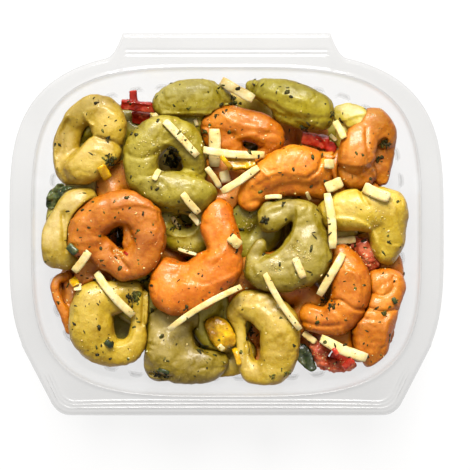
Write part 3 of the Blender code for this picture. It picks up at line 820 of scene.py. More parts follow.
UPPER = [
    Morsel(
        "tomato_left_edge",
        [
            [(-54, -15, -0.5, 1.7), (-56.6, -16.2, 0.5, 1.6), (-57, -20, 0.8, 1.5),
             (-55.5, -24.2, 0.8, 1.7), (-53.6, -28, 0, 1.9), (-52.3, -32.4, -1, 1.7)],
            [(-53, -15, -2, 2), (-52.2, -19, -2.5, 2.2), (-51, -25, -2, 2.8),
             (-50.5, -31, -2, 2.8)],
            [(-52.5, -17, -6, 3.2), (-51.5, -23, -5.5, 4.6), (-49, -30, -6, 5)],
        ],
        marks=[(0.6, 0.6, (-54.2, -19.5), (-54.4, -18.6), (-54, -18))],
        seed=1,
    ),
    Morsel(
        "spinach_back_left",
        [
            [(-19.5, 42.8, 0, 5), (-14.5, 44.6, 1, 6.1), (-8, 44.8, 1, 6.2), (-2.6, 43.6, -1, 5)],
            [(-18, 38.5, -3.5, 4.8), (-11, 36.5, -4.5, 5), (-5, 38, -3.5, 4.8)],
        ],
        marks=[(-0.5, 0.7, (-3.2, 49.2), (-2.6, 46), (-0.4, 42.4))],
        folds=[(0.5, 3.0, (-1.5, 39.2), (-8, 39.6), (-14, 39.4), (-21, 39.4))],
        seed=2,
    ),
    Morsel(
        "egg_left_edge",
        [[(-46.8, 10.6, -1.2, 4.2), (-49.8, 8.8, -0.2, 5.6), (-53, 4.2, -0.3, 5.3),
          (-55.8, -1.4, -0.3, 6.1), (-56.6, -5.5, -0.8, 6.2), (-53.5, -7.8, -1.5, 5)]],
        marks=[(-0.8, 0.8, (-54, 6), (-53.6, 0), (-53.2, -6)),
               (-0.3, 0.7, (-58, 1), (-57, -5), (-56, -12))],
        seed=3,
    ),
    Morsel(
        "tomato_back",
        [
            [(-4, 30.6, -0.6, 3.8), (-3.4, 35.6, -0.3, 4.9), (2, 36.4, 0.5, 5.6),
             (8, 35.2, 0.8, 5.3), (13.4, 33.2, 0.5, 5.2), (15.2, 29, 0, 3.8), (12.8, 24.4, -1.5, 3.5)],
            [(-3.5, 30.5, -0.8, 3.6), (0.8, 29.6, -0.2, 4), (3, 26, -1.2, 3.6),
             (7, 23.8, -2, 3.4), (12, 23, -2.4, 3.2)],
        ],
        marks=[(0.4, 0.7, (-3.5, 41), (-0.5, 37.8), (2.5, 36), (8, 34.6), (13.5, 34)),
               (-0.5, 0.8, (-6, 34.5), (-2, 33.4), (2.6, 32.4)),
               (-0.4, 0.7, (11.4, 31.8), (15, 32.6), (18.6, 31.6))],
        folds=[(0.5, 3.0, (12.2, 31.4), (8, 32.6), (3.6, 31.2))],
        seed=4,
    ),
    Morsel(
        "egg_back_left",
        [
            [(-50, 38.5, -1, 4.2), (-45.4, 40.4, 0.5, 4.6), (-41, 39.6, 1.5, 5.4),
             (-38.8, 34.5, 2, 6), (-39, 30.6, 1.5, 5.4)],
            [(-39.8, 27.2, 1.6, 5.6), (-43, 24.2, 1.5, 6), (-47.5, 21.4, 0.6, 6),
             (-51, 20.8, -1, 5)],
            [(-52, 20.5, -2, 5), (-53.3, 25.5, -2.4, 4.5), (-52.8, 31, -2.8, 4.5),
             (-50.5, 36, -2.2, 4.2), (-47.5, 39.5, -1, 4)],
        ],
        marks=[
            (0.8, 0.7, (-56.2, 21), (-57, 27), (-56, 33), (-52.8, 38.4)),
            (-0.7, 0.9, (-54.6, 26), (-53.8, 33), (-52.2, 36.5)),
            (1.0, 0.6, (-46.8, 38.6), (-45.9, 36.4), (-44.4, 35.2)),
            (-0.9, 0.6, (-44.4, 31.7), (-40, 30.4), (-37, 29.4), (-34, 27.6)),
            (0.4, 0.9, (-44, 27.2), (-40.4, 26.4), (-37, 24.6)),
        ],
        folds=[(1.0, 4.5, (-43.9, 31.8), (-46, 30.4), (-47.7, 28), (-50.6, 24.4), (-53.4, 21.6)),
               (0.5, 2.5, (-33.5, 36), (-36, 38.8), (-41, 41.5), (-46, 40.5))],
        seed=5,
    ),
    Morsel(
        "spinach_front",
        [
            [(-21.4, -30, -1, 5.2), (-21, -34, 0, 6), (-20.3, -38.8, 0.8, 6.8),
             (-17.5, -42.8, 0.8, 6.8), (-11.5, -44.6, 0.5, 6.1), (-6, -44.4, 0, 5.1),
             (-2.8, -43.2, -0.6, 3.4)],
            [(-20, -30, 0, 5), (-15, -28.6, -0.5, 4.5), (-10, -28.6, -1.5, 3.5)],
            [(-17, -34, 0.4, 5.2), (-15.4, -38.5, 0.5, 5)],
            [(-21.6, -37, -0.6, 5.4), (-22.4, -44.6, -0.8, 5.2)],
        ],
        marks=[
            (-1.0, 0.6, (-25.2, -47), (-21.5, -47.8), (-18, -48)),
            (-0.4, 0.5, (-26, -36.6), (-24.6, -37.4), (-23, -38)),
            (-0.3, 1.2, (-24, -30), (-21, -34), (-20.4, -39)),
        ],
        folds=[(0.9, 4.0, (-4.2, -41.4), (-8.4, -38.9), (-11.2, -35), (-11.6, -30.5))],
        seed=6,
    ),
    Morsel(
        "egg_front_left",
        [
            [(-31.8, -21, 0, 5), (-38, -21.8, 1, 6), (-44.2, -24, 1.5, 7.2), (-44.8, -31, 1.3, 7.6),
             (-43.5, -36, 0.8, 6.8), (-38.5, -39.8, 0.5, 5.1), (-33, -39.4, 0.5, 4.4),
             (-29.9, -36.2, 0.5, 3.5), (-29.3, -31, 0.7, 2.8), (-29.4, -25.5, 0.7, 3.2),
             (-30.5, -21.5, 0.3, 4.4)],
        ],
        marks=[
            (0.8, 0.45, (-25.9, -20), (-26.1, -24), (-26.6, -30)),
            (-0.9, 0.5, (-27.5, -18.5), (-27.7, -24), (-28, -30.6)),
            (-0.5, 0.8, (-34, -21), (-33, -24.5), (-33.6, -27)),
            (0.3, 1.2, (-42, -24), (-42.4, -30), (-42.6, -35)),
        ],
        folds=[(0.8, 2.8, (-30.4, -32.8), (-32.2, -36.2), (-36, -37.6), (-39.8, -37))],
        seed=7,
    ),
    Morsel(
        "egg_front",
        [
            [(3.3, -26.4, 0, 3.3), (6.8, -24, 0.5, 4.7), (12.5, -25.8, 1.5, 6),
             (17.4, -30.5, 2, 6.8), (17.6, -37, 1.8, 6.6), (16.4, -43.5, 1, 6.3),
             (13, -46.4, 0.3, 4.8), (9.5, -46.8, 0, 3.8)],
            [(3.1, -28, 0, 2.7), (4.2, -32, 0.2, 2.2), (5.1, -37, 0.2, 2.2), (5.4, -42, 0, 2.6),
             (8, -46.4, 0, 3.2)],
            [(6.9, -37.5, -2, 1.3), (7.3, -41, -1.8, 1.8), (7.6, -45, -1, 2)],
        ],
        marks=[
            (0.4, 0.6, (6, -29.8), (8.8, -31.8), (10.4, -35.5), (10.7, -40)),
            (-0.5, 0.4, (6.1, -37), (6.5, -41), (6.6, -45)),
        ],
        folds=[(0.6, 4.0, (17.8, -33), (14.6, -27.6), (9.4, -24), (4, -24.6), (1, -27.4))],
        seed=8,
    ),
    Morsel(
        "tomato_right_edge",
        [
            [(50, -17.4, 0.3, 5.2), (54.2, -17.4, 0.6, 5), (53, -21.6, 1, 5.4),
             (50.4, -26.2, 1.4, 6.2), (48.2, -31.2, 1.6, 6.7), (47.7, -36.6, 1, 6.2),
             (49.1, -40.6, -0.4, 5)],
        ],
        marks=[
            (-0.7, 0.5, (46.4, -16), (47.8, -20), (51.6, -21), (54.8, -18.8), (55, -14.6)),
            (0.5, 0.8, (49.6, -16), (50.6, -18.4), (52.8, -18), (52.8, -15.6)),
            (-0.9, 0.6, (44, -25.2), (47.4, -25.2), (51.4, -26.4), (56, -25.4)),
            (-0.4, 0.8, (47.4, -27), (46.4, -32), (47.4, -39)),
        ],
        folds=[(0.6, 3.0, (53.8, -28), (50.6, -29.6), (47, -29.2), (43, -29.6)),
               (0.5, 3.0, (53.4, -27), (51.6, -33), (52.2, -40))],
        seed=9,
    ),
    Morsel(
        "tomato_back_corner",
        [
            [(44.8, 36, 0, 4.2), (48.8, 36.2, 0.8, 5.1), (51.9, 32.8, 0, 4.2), (53.3, 28.5, -2, 2.7),
             (52.2, 23, -3.6, 2.8), (51.4, 17.8, -4.4, 2.4)],
            [(50, 27, -4, 3.4), (49.4, 21, -4.6, 3.2)],
            [(45, 31.8, 1.5, 5.2), (43.2, 27.5, 2, 6.2), (43, 25, 1.6, 6)],
            [(41.8, 19.6, -1.5, 5.2), (44.4, 19.2, -1.5, 5.2)],
        ],
        marks=[
            (0.3, 0.9, (40.6, 33), (40.2, 28), (40.2, 23)),
            (-0.6, 0.5, (45.8, 34), (46, 28), (46.6, 22.5)),
            (-0.8, 0.8, (46, 19.8), (48, 18.4), (48.6, 16.6)),
            (0.7, 0.7, (44.8, 18.4), (47, 20), (48.6, 21)),
        ],
        folds=[(1.1, 5.0, (36.6, 22.6), (40.8, 21.4), (45.4, 21.5), (49, 23.8))],
        cuts=[[(52, 29.6, 2.5, 1.7), (50.4, 25.8, 1.5, 1.5), (50.2, 20, 0.5, 1.0)]],
        seed=10,
    ),
    Morsel(
        "egg_back_corner",
        [[(37.6, 39, -1.4, 3.2), (40.8, 39, 0, 3.6), (43.6, 37.8, 0.8, 3.6)],
         [(41.4, 36.2, 1, 2.4), (44.6, 36.2, 1.5, 2.5)],
         [(38.4, 34, -2.5, 2.8), (38.3, 30, -3.5, 2.2)]],
        folds=[(0.7, 2.5, (38.6, 36.6), (41.6, 37.6), (45.6, 38.6))],
        seed=11,
    ),
    Morsel(
        "egg_right",
        [[(32.8, 5.4, -1.4, 4.2), (36, 6.4, 0, 5.8), (40, 7, 1.5, 6.8), (46.5, 7.4, 2, 7),
          (52.8, 7.1, 1.6, 7.3), (53.4, 1.5, 1, 6.2), (53.2, -3.4, 0.2, 5.4), (53.4, -7.4, -0.9, 3.6)]],
        marks=[(-0.9, 0.7, (43.8, 14.8), (44.8, 11.4), (46.6, 8.6)),
               (-0.5, 1.0, (50.5, 1.6), (51.5, -2.5), (50.8, -7)),
               (-0.5, 0.7, (34.4, 12), (34, 6), (35, -1))],
        folds=[(0.7, 5.0, (52.4, -9), (49.8, -3), (47.4, 1.6), (42, 4.4), (36, 4.8)),
               (0.5, 2.5, (58.6, -4), (56.4, 2), (55.6, 8), (51, 12.4))],
        seed=12,
    ),
    Morsel(
        "tomato_right",
        [[(38, -9.2, 0, 5), (40.6, -14.5, 1.5, 6.5), (41, -20.8, 1.8, 6.6), (38.8, -26.2, 1.4, 6.6),
          (33.8, -29.2, 0.8, 5.2), (29.2, -28.6, 0, 4.6), (27.4, -27.2, -0.5, 3.6)]],
        marks=[(0.5, 0.8, (38.5, -11), (43, -15), (43.6, -20)),
               (-0.9, 0.6, (47, -25.4), (42, -25.4), (37.4, -22.4), (34.6, -22.6)),
               (0.5, 0.6, (27.2, -25.2), (31.4, -25.8), (35, -24.8)),
               (-0.6, 0.6, (25, -29.6), (31, -31), (37, -30.6))],
        folds=[(0.7, 3.5, (45.6, -12), (41, -12.6), (36.4, -11.4)),
               (0.6, 3.0, (38.6, -33), (37.2, -28.8), (34.4, -25.6))],
        seed=13,
    ),
    Morsel(
        "spinach_back_right",
        [
            [(8.4, 47.9, -1, 2.6), (12.6, 46.7, 0.5, 4.6), (19, 44.8, 1.5, 6), (25, 42.7, 1.8, 6.1),
             (29.8, 40.6, 1.2, 5.7)],
            [(19, 40, -0.6, 3.8), (26, 38.2, 0, 4.6), (30.6, 37.6, 0, 4.4)],
        ],
        marks=[(-1.0, 0.5, (10.4, 50.6), (9.8, 48.4), (8.6, 46)),
               (-0.9, 0.6, (23.4, 36), (26, 34.7), (28.6, 34.2)),
               (-0.5, 0.9, (10, 43.6), (16, 41.6), (21, 38.6), (26, 37.4), (34, 37.6)),
               (0.4, 1.2, (13, 47), (19, 45), (25, 43))],
        seed=14,
    ),
    Morsel(
        "spinach_middle",
        [
            [(23.5, 7.9, 1, 3), (26.2, 5.6, 1.3, 4.6), (27.4, 1, 1.3, 4.8), (27.8, -4, 1.5, 6.2),
             (26.8, -10, 1.5, 7.3), (20.5, -13.2, 1.2, 6.6), (14, -13.6, 0.8, 6.1), (11, -13, 0.5, 5.3)],
            [(14.8, 4.8, 0.2, 5.1), (19, 6.8, 0.7, 4.2), (23.5, 7.9, 1, 3.1)],
            [(13.7, 2.4, -0.4, 2.8), (13.7, 8.4, 0, 2.7)],
            [(24, 2.6, 1.7, 2), (22.8, -2.5, 1.8, 2.6), (19.2, -7.5, 1.7, 2.8),
             (14, -10.6, 1.2, 2.6), (10.4, -11.6, 0.6, 2.3)],
            [(9.7, -12.6, 0, 4), (9.2, -8.6, 0.2, 3.2), (11, -5, 0.4, 2.8), (11.6, -3.8, 0.3, 1.8)],
        ],
        marks=[(0.5, 0.6, (9.6, -10.2), (13, -8.7), (17.2, -6.4), (20.2, -3.4), (22, 0.4), (23, 4.6)),
               (-0.4, 0.8, (12, 6), (16, 6.6), (20, 8.4)),
               (-0.5, 0.7, (13.4, -4.4), (12, -7.4), (10.6, -9.6)),
               (-0.4, 0.8, (29, 7.6), (30.2, 3), (32, -1))],
        folds=[(0.8, 3.5, (22.8, 7), (23, 3.8), (21.8, 0), (20, -3.8), (17, -6.8),
                (12.8, -9.1), (9.2, -10.8)),
               (0.5, 2.0, (25.6, 8.8), (20, 9.2), (14.6, 8.4), (12.4, 6.4))],
        seed=15,
    ),
    Morsel(
        "tomato_middle",
        [
            [(-20, -13.6, -0.5, 5.4), (-18.4, -20, 0.3, 7.1), (-12.8, -20, 1, 7.3),
             (-6.5, -16, 1.4, 7.4), (-1.9, -11.4, 1.5, 6.9), (-0.8, -5.2, 1.4, 6),
             (-2.6, 1, 1.2, 6.2), (-2.8, 6, 0.6, 5.3)],
            [(-18.5, -14.2, 0, 4.8), (-12, -14.4, 0.8, 4.7), (-6.9, -11, 1, 5)],
        ],
        marks=[(0.4, 0.8, (-20, -10.2), (-15, -10.8), (-10, -10.6), (-6.5, -8)),
               (-0.5, 0.8, (2.2, -7.2), (4.4, -7.4), (6.4, -7.4)),
               (0.5, 1.2, (-6, -9), (-2, -7.2), (1, -3), (1, 1)),
               (-0.4, 0.9, (-9, 3.4), (-5, 1.6), (-3.6, -3))],
        folds=[(0.4, 4.0, (4.6, -12), (-1.5, -15.5), (-8, -17.4), (-15, -16))],
        seed=16,
    ),
    Morsel(
        "tomato_left",
        [
            [(-33.5, -11.6, 0.6, 5), (-29, -9.6, 1, 5.6), (-26.3, -5, 1, 6), (-26, 0.5, 1.2, 6.1),
             (-28.8, 6.4, 1.3, 6.1), (-35, 8.1, 1.2, 5.9), (-41, 6, 0.8, 6.2), (-45.3, 1.6, 0, 6.6),
             (-46.4, -3, -0.5, 6.3)],
            [(-45, -4.5, -0.5, 5.4), (-42.3, -5.5, -0.2, 4.8), (-38.6, -8.8, 0, 4.7),
             (-35.5, -10.6, 0.2, 4.5)],
            [(-30.6, 2.2, 0.3, 3.4), (-31.2, -3.4, 0, 3.2)],
        ],
        marks=[(-0.9, 0.7, (-37.4, -5.8), (-35, -8.8), (-32.4, -12)),
               (-0.4, 0.9, (-44, 6), (-43, 1.4), (-40, -1)),
               (-0.4, 0.9, (-32, 1), (-30.6, -4), (-32, -7.6)),
               (0.4, 1.0, (-51, -3), (-46, -3.2), (-41, -2.6))],
        folds=[(0.6, 5.0, (-37, 7.4), (-32, 8.6), (-27, 8.4), (-22, 6.4)),
               (0.4, 3.0, (-42.4, 9.6), (-46, 5.6), (-51, 4.4))],
        seed=17,
    ),
    Morsel(
        "spinach_left",
        [
            [(-10.2, 20, -2.5, 4), (-11.2, 25, -0.5, 4.4), (-13.2, 30.3, 0.5, 5),
             (-17.5, 33.2, 1, 5.2), (-23, 32, 1.5, 5.8), (-27.3, 28, 1.5, 6.2),
             (-28.3, 23, 1.2, 6), (-27.5, 18.5, 0.8, 5.5)],
            [(-28, 18.6, 0.3, 5.8), (-23.5, 14.6, 0.8, 6), (-17.5, 13.4, 1.6, 6),
             (-12, 13.2, 2, 5.2), (-8, 13, 2, 3.9)],
            [(-22, 12.4, -2, 6.2), (-14, 10.8, -1, 5.2), (-10, 11, 0, 4.9), (-7.2, 12.6, 0.6, 4)],
        ],
        marks=[(-0.5, 0.7, (-20, 34.8), (-15, 31.4), (-11.4, 27)),
               (0.5, 0.7, (-21.5, 29.4), (-18, 28.4), (-15, 25.4)),
               (-0.4, 0.8, (-32, 25), (-27.6, 24), (-23, 26)),
               (-0.4, 0.8, (-24, 18), (-20, 15), (-18, 9.6))],
        folds=[(0.9, 3.5, (-3.6, 13.4), (-8, 17.8), (-13, 20.4), (-19.5, 20.2), (-24.5, 17.6)),
               (0.4, 3.0, (-13, 34.6), (-18.6, 30), (-24, 28))],
        seed=18,
    ),
    Morsel(
        "tomato_middle_back",
        [
            [(8, 11.4, -1, 4.6), (10.6, 16.6, 0.5, 5.4), (16.5, 20.6, 1.2, 6),
             (22, 22, 1.5, 6.6), (27, 21.4, 1.2, 6.4), (30, 19.6, 0.5, 5)],
            [(11, 13, -1.6, 4.2), (18, 16.4, -0.8, 5), (25, 17.2, -1, 5.6), (30.6, 16, -2.2, 5)],
        ],
        marks=[(-1.0, 0.55, (31.6, 24.6), (30.6, 22), (29.6, 19.8), (27, 18)),
               (0.6, 0.5, (10.8, 20.8), (12.4, 19.2), (14, 17.6)),
               (-0.4, 0.7, (22, 20.6), (23.6, 23.4), (25.6, 26.4)),
               (-0.4, 0.8, (6, 9), (9.6, 10.4), (12.4, 9.4))],
        folds=[(0.5, 4.0, (8, 14.4), (15, 18.6), (21, 18.8), (28, 17.8))],
        seed=19,
    ),
]

VEGETABLES = [
    Morsel("red_pepper_crossing",
           slabs=[(-28.6, 38.4, 0, 6.2, 4.6, 3.0, -8, 0, 35)],
           seed=30),
    Leaf("spinach_leaf_left",
         [[(-58.6, 9.2, 0, 1.6), (-56.6, 11, 0, 3), (-54, 13.4, 0, 3.2), (-51.6, 15, 0, 2.2)]],
         slope=(0.25, -0.1), crinkle=2.0, seed=41),
    Leaf("spinach_leaf_front",
         [[(25.2, -38.6, 0, 1.8), (26, -41.4, 0, 3), (28, -44, 0, 2.4)]],
         slope=(0.1, -0.3), crinkle=0.7, seed=42),
    Morsel("red_pepper_back_left",
           slabs=[(-28.8, 41.8, 0.4, 13, 3.4, 2.2, -6, 4, 20), (-30.9, 44.6, 0.8, 2.6, 5, 1.6, 8, 0, 10)],
           marks=[(0.4, 0.4, (-34, 43), (-29, 42.6), (-24, 42))], seed=31),
    Morsel("red_pepper_back_right",
           slabs=[(29.4, 30.6, 0, 9.4, 4.2, 3.4, -12, 0, 20), (34, 28.6, -0.2, 5, 4, 3, -24, 6, 10)],
           marks=[(-0.5, 0.5, (29, 32), (31.5, 29.6), (32.4, 27.4))], seed=32),
    Morsel("tomato_piece_right",
           [[(42.6, -3.8, -0.6, 2.2), (44.6, -5, 0.6, 3), (47.6, -8, 0.3, 3.4),
             (48.4, -11, -0.5, 2.3)]], seed=33),
    Morsel("tomato_piece_front",
           [[(28.6, -36, 0, 1.8), (30.4, -38.8, 0.4, 2.2), (31.4, -41.8, 0.2, 2),
             (31.2, -44, -0.4, 1.2)], [(30.6, -40, 0.4, 2), (33.2, -39.6, 0.2, 1.5)],
            [(31.4, -42.6, 0, 1.8), (34.6, -44, -0.3, 2.2), (37.6, -44.6, -0.6, 1.9),
             (41.4, -44.4, -0.9, 1.7)]], seed=34),
    Morsel("red_pepper_front",
           slabs=[(38, -42.2, 0, 6.4, 4.6, 2.6, -14, 4, 16), (35.8, -41.4, 0.3, 2.4, 4.6, 2.4, -30, 0, 0)],
           seed=35),
    Morsel("red_pepper_right_edge",
           [[(55.2, -28.6, 0, 0.9), (55.4, -31, 0, 1), (54.6, -34.6, -0.8, 0.8)]], seed=36),
    Morsel("yellow_pepper_front",
           [[(-5.2, -30.4, 0, 2), (-3, -30.2, 0.4, 2.4), (-0.6, -32.8, 0.6, 3),
             (1.6, -35.4, 0.3, 2.4)],
            [(-4.6, -32, 0.2, 2.4), (-3, -35.4, 0.2, 2.6), (-1.6, -38, 0, 1.6)],
            [(-0.8, -35, 0.2, 3)]], marks=[(0.4, 0.5, (-4, -30), (-2.6, -33.6), (-1.6, -37))],
           seed=37),
]
TOPMOST = [
    Morsel("yellow_pepper_middle",
           slabs=[(3.6, 22.9, -0.2, 7, 5, 2.4, 2, 0, -14), (7.8, 23, 0.2, 3.4, 4.2, 2.2, 16, 0, -14)],
           seed=38),
]


# ---------------------------------------------------------------- the tray


def power(value, exponent):
    return np.sign(value) * np.abs(value) ** exponent


def even_loop(half_length, half_width, count):
    """Points at equal steps round a rectangle with bowed sides and round corners."""
    angle = np.linspace(0.0, 2.0 * math.pi, 4321)
    x = half_length * power(np.cos(angle), 2.0 / OPENING_SQUARENESS)
    y = half_width * power(np.sin(angle), 2.0 / OPENING_SQUARENESS)
    steps = np.hypot(np.diff(x), np.diff(y))
    travelled = np.concatenate([[0.0], np.cumsum(steps)])
    wanted = travelled[-1] * np.arange(count) / count
    return np.stack([np.interp(wanted, travelled, x), np.interp(wanted, travelled, y)], axis=1)


def outward(loop):
    along = np.roll(loop, -1, axis=0) - np.roll(loop, 1, axis=0)
    along /= np.linalg.norm(along, axis=1)[:, None]
    return np.stack([along[:, 1], -along[:, 0]], axis=1)


def flange_widths(rim, normal):
    """How far the flange runs outward from each point of the rim."""
    x, y = rim.T
    back = np.where(normal[:, 1] > 0, BACK_FLANGE, FRONT_FLANGE)
    width = SIDE_FLANGE * normal[:, 0] ** 2 + back * normal[:, 1] ** 2
    fillet = np.clip(1.0 - (np.abs(x) - HINGE_HALF_LENGTH) / HINGE_FILLET, 0.0, 1.0)
    line = OPENING_WIDTH / 2 + BACK_FLANGE + HINGE_STRIP
    to_line = (line - y) / np.maximum(normal[:, 1], LEAST_SLANT)
    width = np.where(y > 0, width + (to_line - width) * fillet ** 2, width)
    front = OPENING_WIDTH / 2 + FRONT_FLANGE
    to_front = (front + y) / np.maximum(-normal[:, 1], LEAST_SLANT)
    across = TAB_SIDE_NORMAL[0] * np.sign(x)
    slant = np.maximum(across * normal[:, 0] - TAB_SIDE_NORMAL[1] * normal[:, 1], LEAST_SLANT)
    to_side = (TAB_SIDE_REACH - across * x + TAB_SIDE_NORMAL[1] * y) / slant
    return np.where(y < TAB_START, smooth_min(to_front, to_side, TAB_ROUNDING), width)


AROUND = FLUTES * 12
FLANGE_STEPS = 34
# Ridges pressed along the front edge of the flange, as how far in from the edge they run.
RIDGES = (1.1, 2.3, 3.5)
RIDGE_HEIGHT = 0.35
RIDGE_WIDTH = 0.35


# Lines pressed across the hinge strip, as how far in from its edge they run.
HINGE_LINES = (5.4, 6.8)
# How far the flutes stand out from the wall rather than into it, as a share of their depth.
FLUTE_OUT = 0.45
# The flutes close to the plain wall this far below and above their top.
FLUTE_CLOSING = 0.7


def smooth_step(value, low, high):
    share = np.clip((value - low) / (high - low), 0.0, 1.0)
    return share * share * (3.0 - 2.0 * share)


def tray_loops():
    """Loops of the tray's inner skin, from the middle of its base to the flange's lip."""
    phase = np.cos(2.0 * math.pi * FLUTES * np.arange(AROUND) / AROUND)
    flute = np.tanh(2.2 * phase) / math.tanh(2.2)

    def inset_loop(inset, height, depth=0.0):
        loop = even_loop(OPENING_LENGTH / 2 - inset, OPENING_WIDTH / 2 - inset, AROUND)
        loop = loop + outward(loop) * (depth * (flute + FLUTE_OUT))[:, None]
        return np.column_stack([loop, np.full(AROUND, height)])

    loops = [inset_loop(35.0, SHEET), inset_loop(14.0, SHEET), inset_loop(11.0, SHEET)]
    for inset, height in ((10.0, 0.8), (9.2, 1.4), (8.8, 2.3), (FOOT_INSET, FOOT_HEIGHT)):
        loops.append(inset_loop(inset, height))
    for height in (4.6, 5.8, 7, FLUTE_FOOT, 12, 16, 20, 21.3, 21.7, FLUTE_TOP, 22.3, 22.7, 24, SHOULDER,
                   28, 30, 36, 42, 46, 48, 49.3):
        depth = smooth_step(height, FOOT_HEIGHT, FLUTE_FOOT)
        depth -= smooth_step(height, FLUTE_TOP - FLUTE_CLOSING, FLUTE_TOP + FLUTE_CLOSING)
        loops.append(inset_loop(float(wall_inset(height)), height, FLUTE_DEPTH * depth))
    rim = even_loop(OPENING_LENGTH / 2, OPENING_WIDTH / 2, AROUND)
    normal = outward(rim)
    width = flange_widths(rim, normal)
    front = smooth_step(-normal[:, 1], 0.55, 0.8)
    back = smooth_step(normal[:, 1], 0.96, 0.99)
    for step in range(FLANGE_STEPS + 1):
        share = step / FLANGE_STEPS
        away = share * (width - 1.2)
        height = np.full(AROUND, TRAY_HEIGHT - 0.45)
        height += 0.45 * np.exp(-((away - 0.5) / 0.55) ** 2)
        for ridge in RIDGES:
            height += front * RIDGE_HEIGHT * np.exp(-((width - away - ridge - 1.2) / RIDGE_WIDTH) ** 2)
        for line in HINGE_LINES:
            height -= back * RIDGE_HEIGHT * np.exp(-((width - away - line) / RIDGE_WIDTH) ** 2)
        loops.append(np.column_stack([rim + normal * away[:, None], height]))
    for start, drop in ((-0.7, 0.6), (-0.25, 1.0), (-0.05, 1.6), (0.1, 2.1), (0.3, LIP_DROP)):
        loop = rim + normal * (width + start)[:, None]
        loops.append(np.column_stack([loop, np.full(AROUND, TRAY_HEIGHT - drop)]))
    return loops


def make_tray():
    loops = tray_loops()
    points = np.vstack(loops) + (MIDDLE_X, MIDDLE_Y, 0.0)
    following = np.roll(np.arange(AROUND), -1)
    faces = []
    for level in range(len(loops) - 1):
        low, high = level * AROUND, (level + 1) * AROUND
        quad = (low + np.arange(AROUND), low + following, high + following, high + np.arange(AROUND))
        faces.append(np.stack(quad, axis=1))
    faces = np.vstack(faces).tolist()
    faces.append(list(range(AROUND))[::-1])
    mesh = bpy.data.meshes.new("clear_tray")
    mesh.from_pydata((points * MM).tolist(), [], faces)
    mesh.shade_smooth()
    mesh.materials.append(clear_material())
    obj = bpy.data.objects.new("clear_tray", mesh)
    bpy.context.scene.collection.objects.link(obj)
    thicken = obj.modifiers.new("sheet", "SOLIDIFY")
    thicken.thickness = SHEET * MM
    thicken.offset = 1.0
    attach(obj, "root")
    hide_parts("tray")


# ---------------------------------------------------------------- what lies on the food


class Surface:
    """The tops of the food laid so far, for things to rest on."""

    def __init__(self, points, faces):
        self.tree = BVHTree.FromPolygons(points.tolist(), faces.tolist())

    def under(self, x, y):
        """The top point and its normal below x, y, measured from the opening's middle."""
        start = Vector((x * SPREAD + MIDDLE_X, y * SPREAD + MIDDLE_Y, TRAY_HEIGHT + 5.0))
        point, normal, _, _ = self.tree.ray_cast(start, Vector((0, 0, -1)))
        return point, normal

    def beside(self, start, direction):
        point, normal, _, _ = self.tree.ray_cast(start, direction)
        return point, normal


def scrap(rng, centre, normal, size, thickness):
    """A small irregular closed flake lying on a surface."""
    sides = 6
    normal = np.array(normal) + rng.normal(0, 0.15, 3)
    normal /= np.linalg.norm(normal)
    east = np.cross(normal, (0.3, 0.9, 0.1))
    east /= np.linalg.norm(east)
    north = np.cross(normal, east)
    turn = rng.uniform(0, 2 * math.pi)
    slim = rng.uniform(0.25, 0.8)
    points = []
    for side in range(sides):
        angle = 2 * math.pi * side / sides
        reach = size * rng.uniform(0.5, 1.35)
        a, b = math.cos(angle) * reach, math.sin(angle) * reach * slim
        across = a * math.cos(turn) - b * math.sin(turn)
        along = a * math.sin(turn) + b * math.cos(turn)
        points.append(centre + east * across + north * along + normal * rng.uniform(0, 0.3) * thickness)
    points.append(centre + normal * thickness)
    points.append(centre - normal * thickness)
    faces = []
    for side in range(sides):
        after = (side + 1) % sides
        faces.append((side, after, sides))
        faces.append((after, side, sides + 1))
    return np.array(points), np.array(faces)


def scatter(rng, surface, count, small, large, power_of_size, thick):
    """Flakes over all the food, as seen from above, most of them small."""
    flakes = []
    while len(flakes) < count:
        x = rng.uniform(-0.49, 0.49) * OPENING_LENGTH
        y = rng.uniform(-0.49, 0.49) * OPENING_WIDTH
        point, normal = surface.under(x, y)
        size = small + (large - small) * rng.uniform() ** power_of_size
        if point is None or point.z < 10.0:
            continue
        flakes.append(scrap(rng, np.array(point), np.array(normal), size, thick * size))
    return flakes


def clump(rng, surface, x, y, spread, count, small, large, pile=0.5):
    """Flakes heaped at one place."""
    flakes = []
    for _ in range(count):
        angle, away = rng.uniform(0, 2 * math.pi), spread * math.sqrt(rng.uniform())
        point, normal = surface.under(x + away * math.cos(angle), y + away * math.sin(angle))
        if point is None:
            continue
        lift = pile * rng.uniform() * (1 - away / spread)
        size = rng.uniform(small, large)
        centre = np.array(point) + np.array((0, 0, lift))
        flakes.append(scrap(rng, centre, np.array(normal) + rng.normal(0, 0.5, 3), size, 0.35 * size))
    return flakes


def side_scatter(rng, surface, count, small, large):
    """Flakes on the faces that show through the tray's wall."""
    flakes = []
    for _ in range(count):
        angle = rng.uniform(0, 2 * math.pi)
        direction = Vector((-math.cos(angle), -math.sin(angle), rng.uniform(-0.2, 0.2)))
        start = Vector((
            MIDDLE_X + OPENING_LENGTH * 0.7 * math.cos(angle),
            MIDDLE_Y + OPENING_WIDTH * 0.7 * math.sin(angle), rng.uniform(2.0, 30.0)))
        aside = Vector((-direction.y, direction.x, 0)) * rng.uniform(-40, 40)
        point, normal = surface.beside(start + aside, direction)
        if point is not None:
            size = rng.uniform(small, large)
            flakes.append(scrap(rng, np.array(point), np.array(normal), size, 0.3 * size))
    return flakes


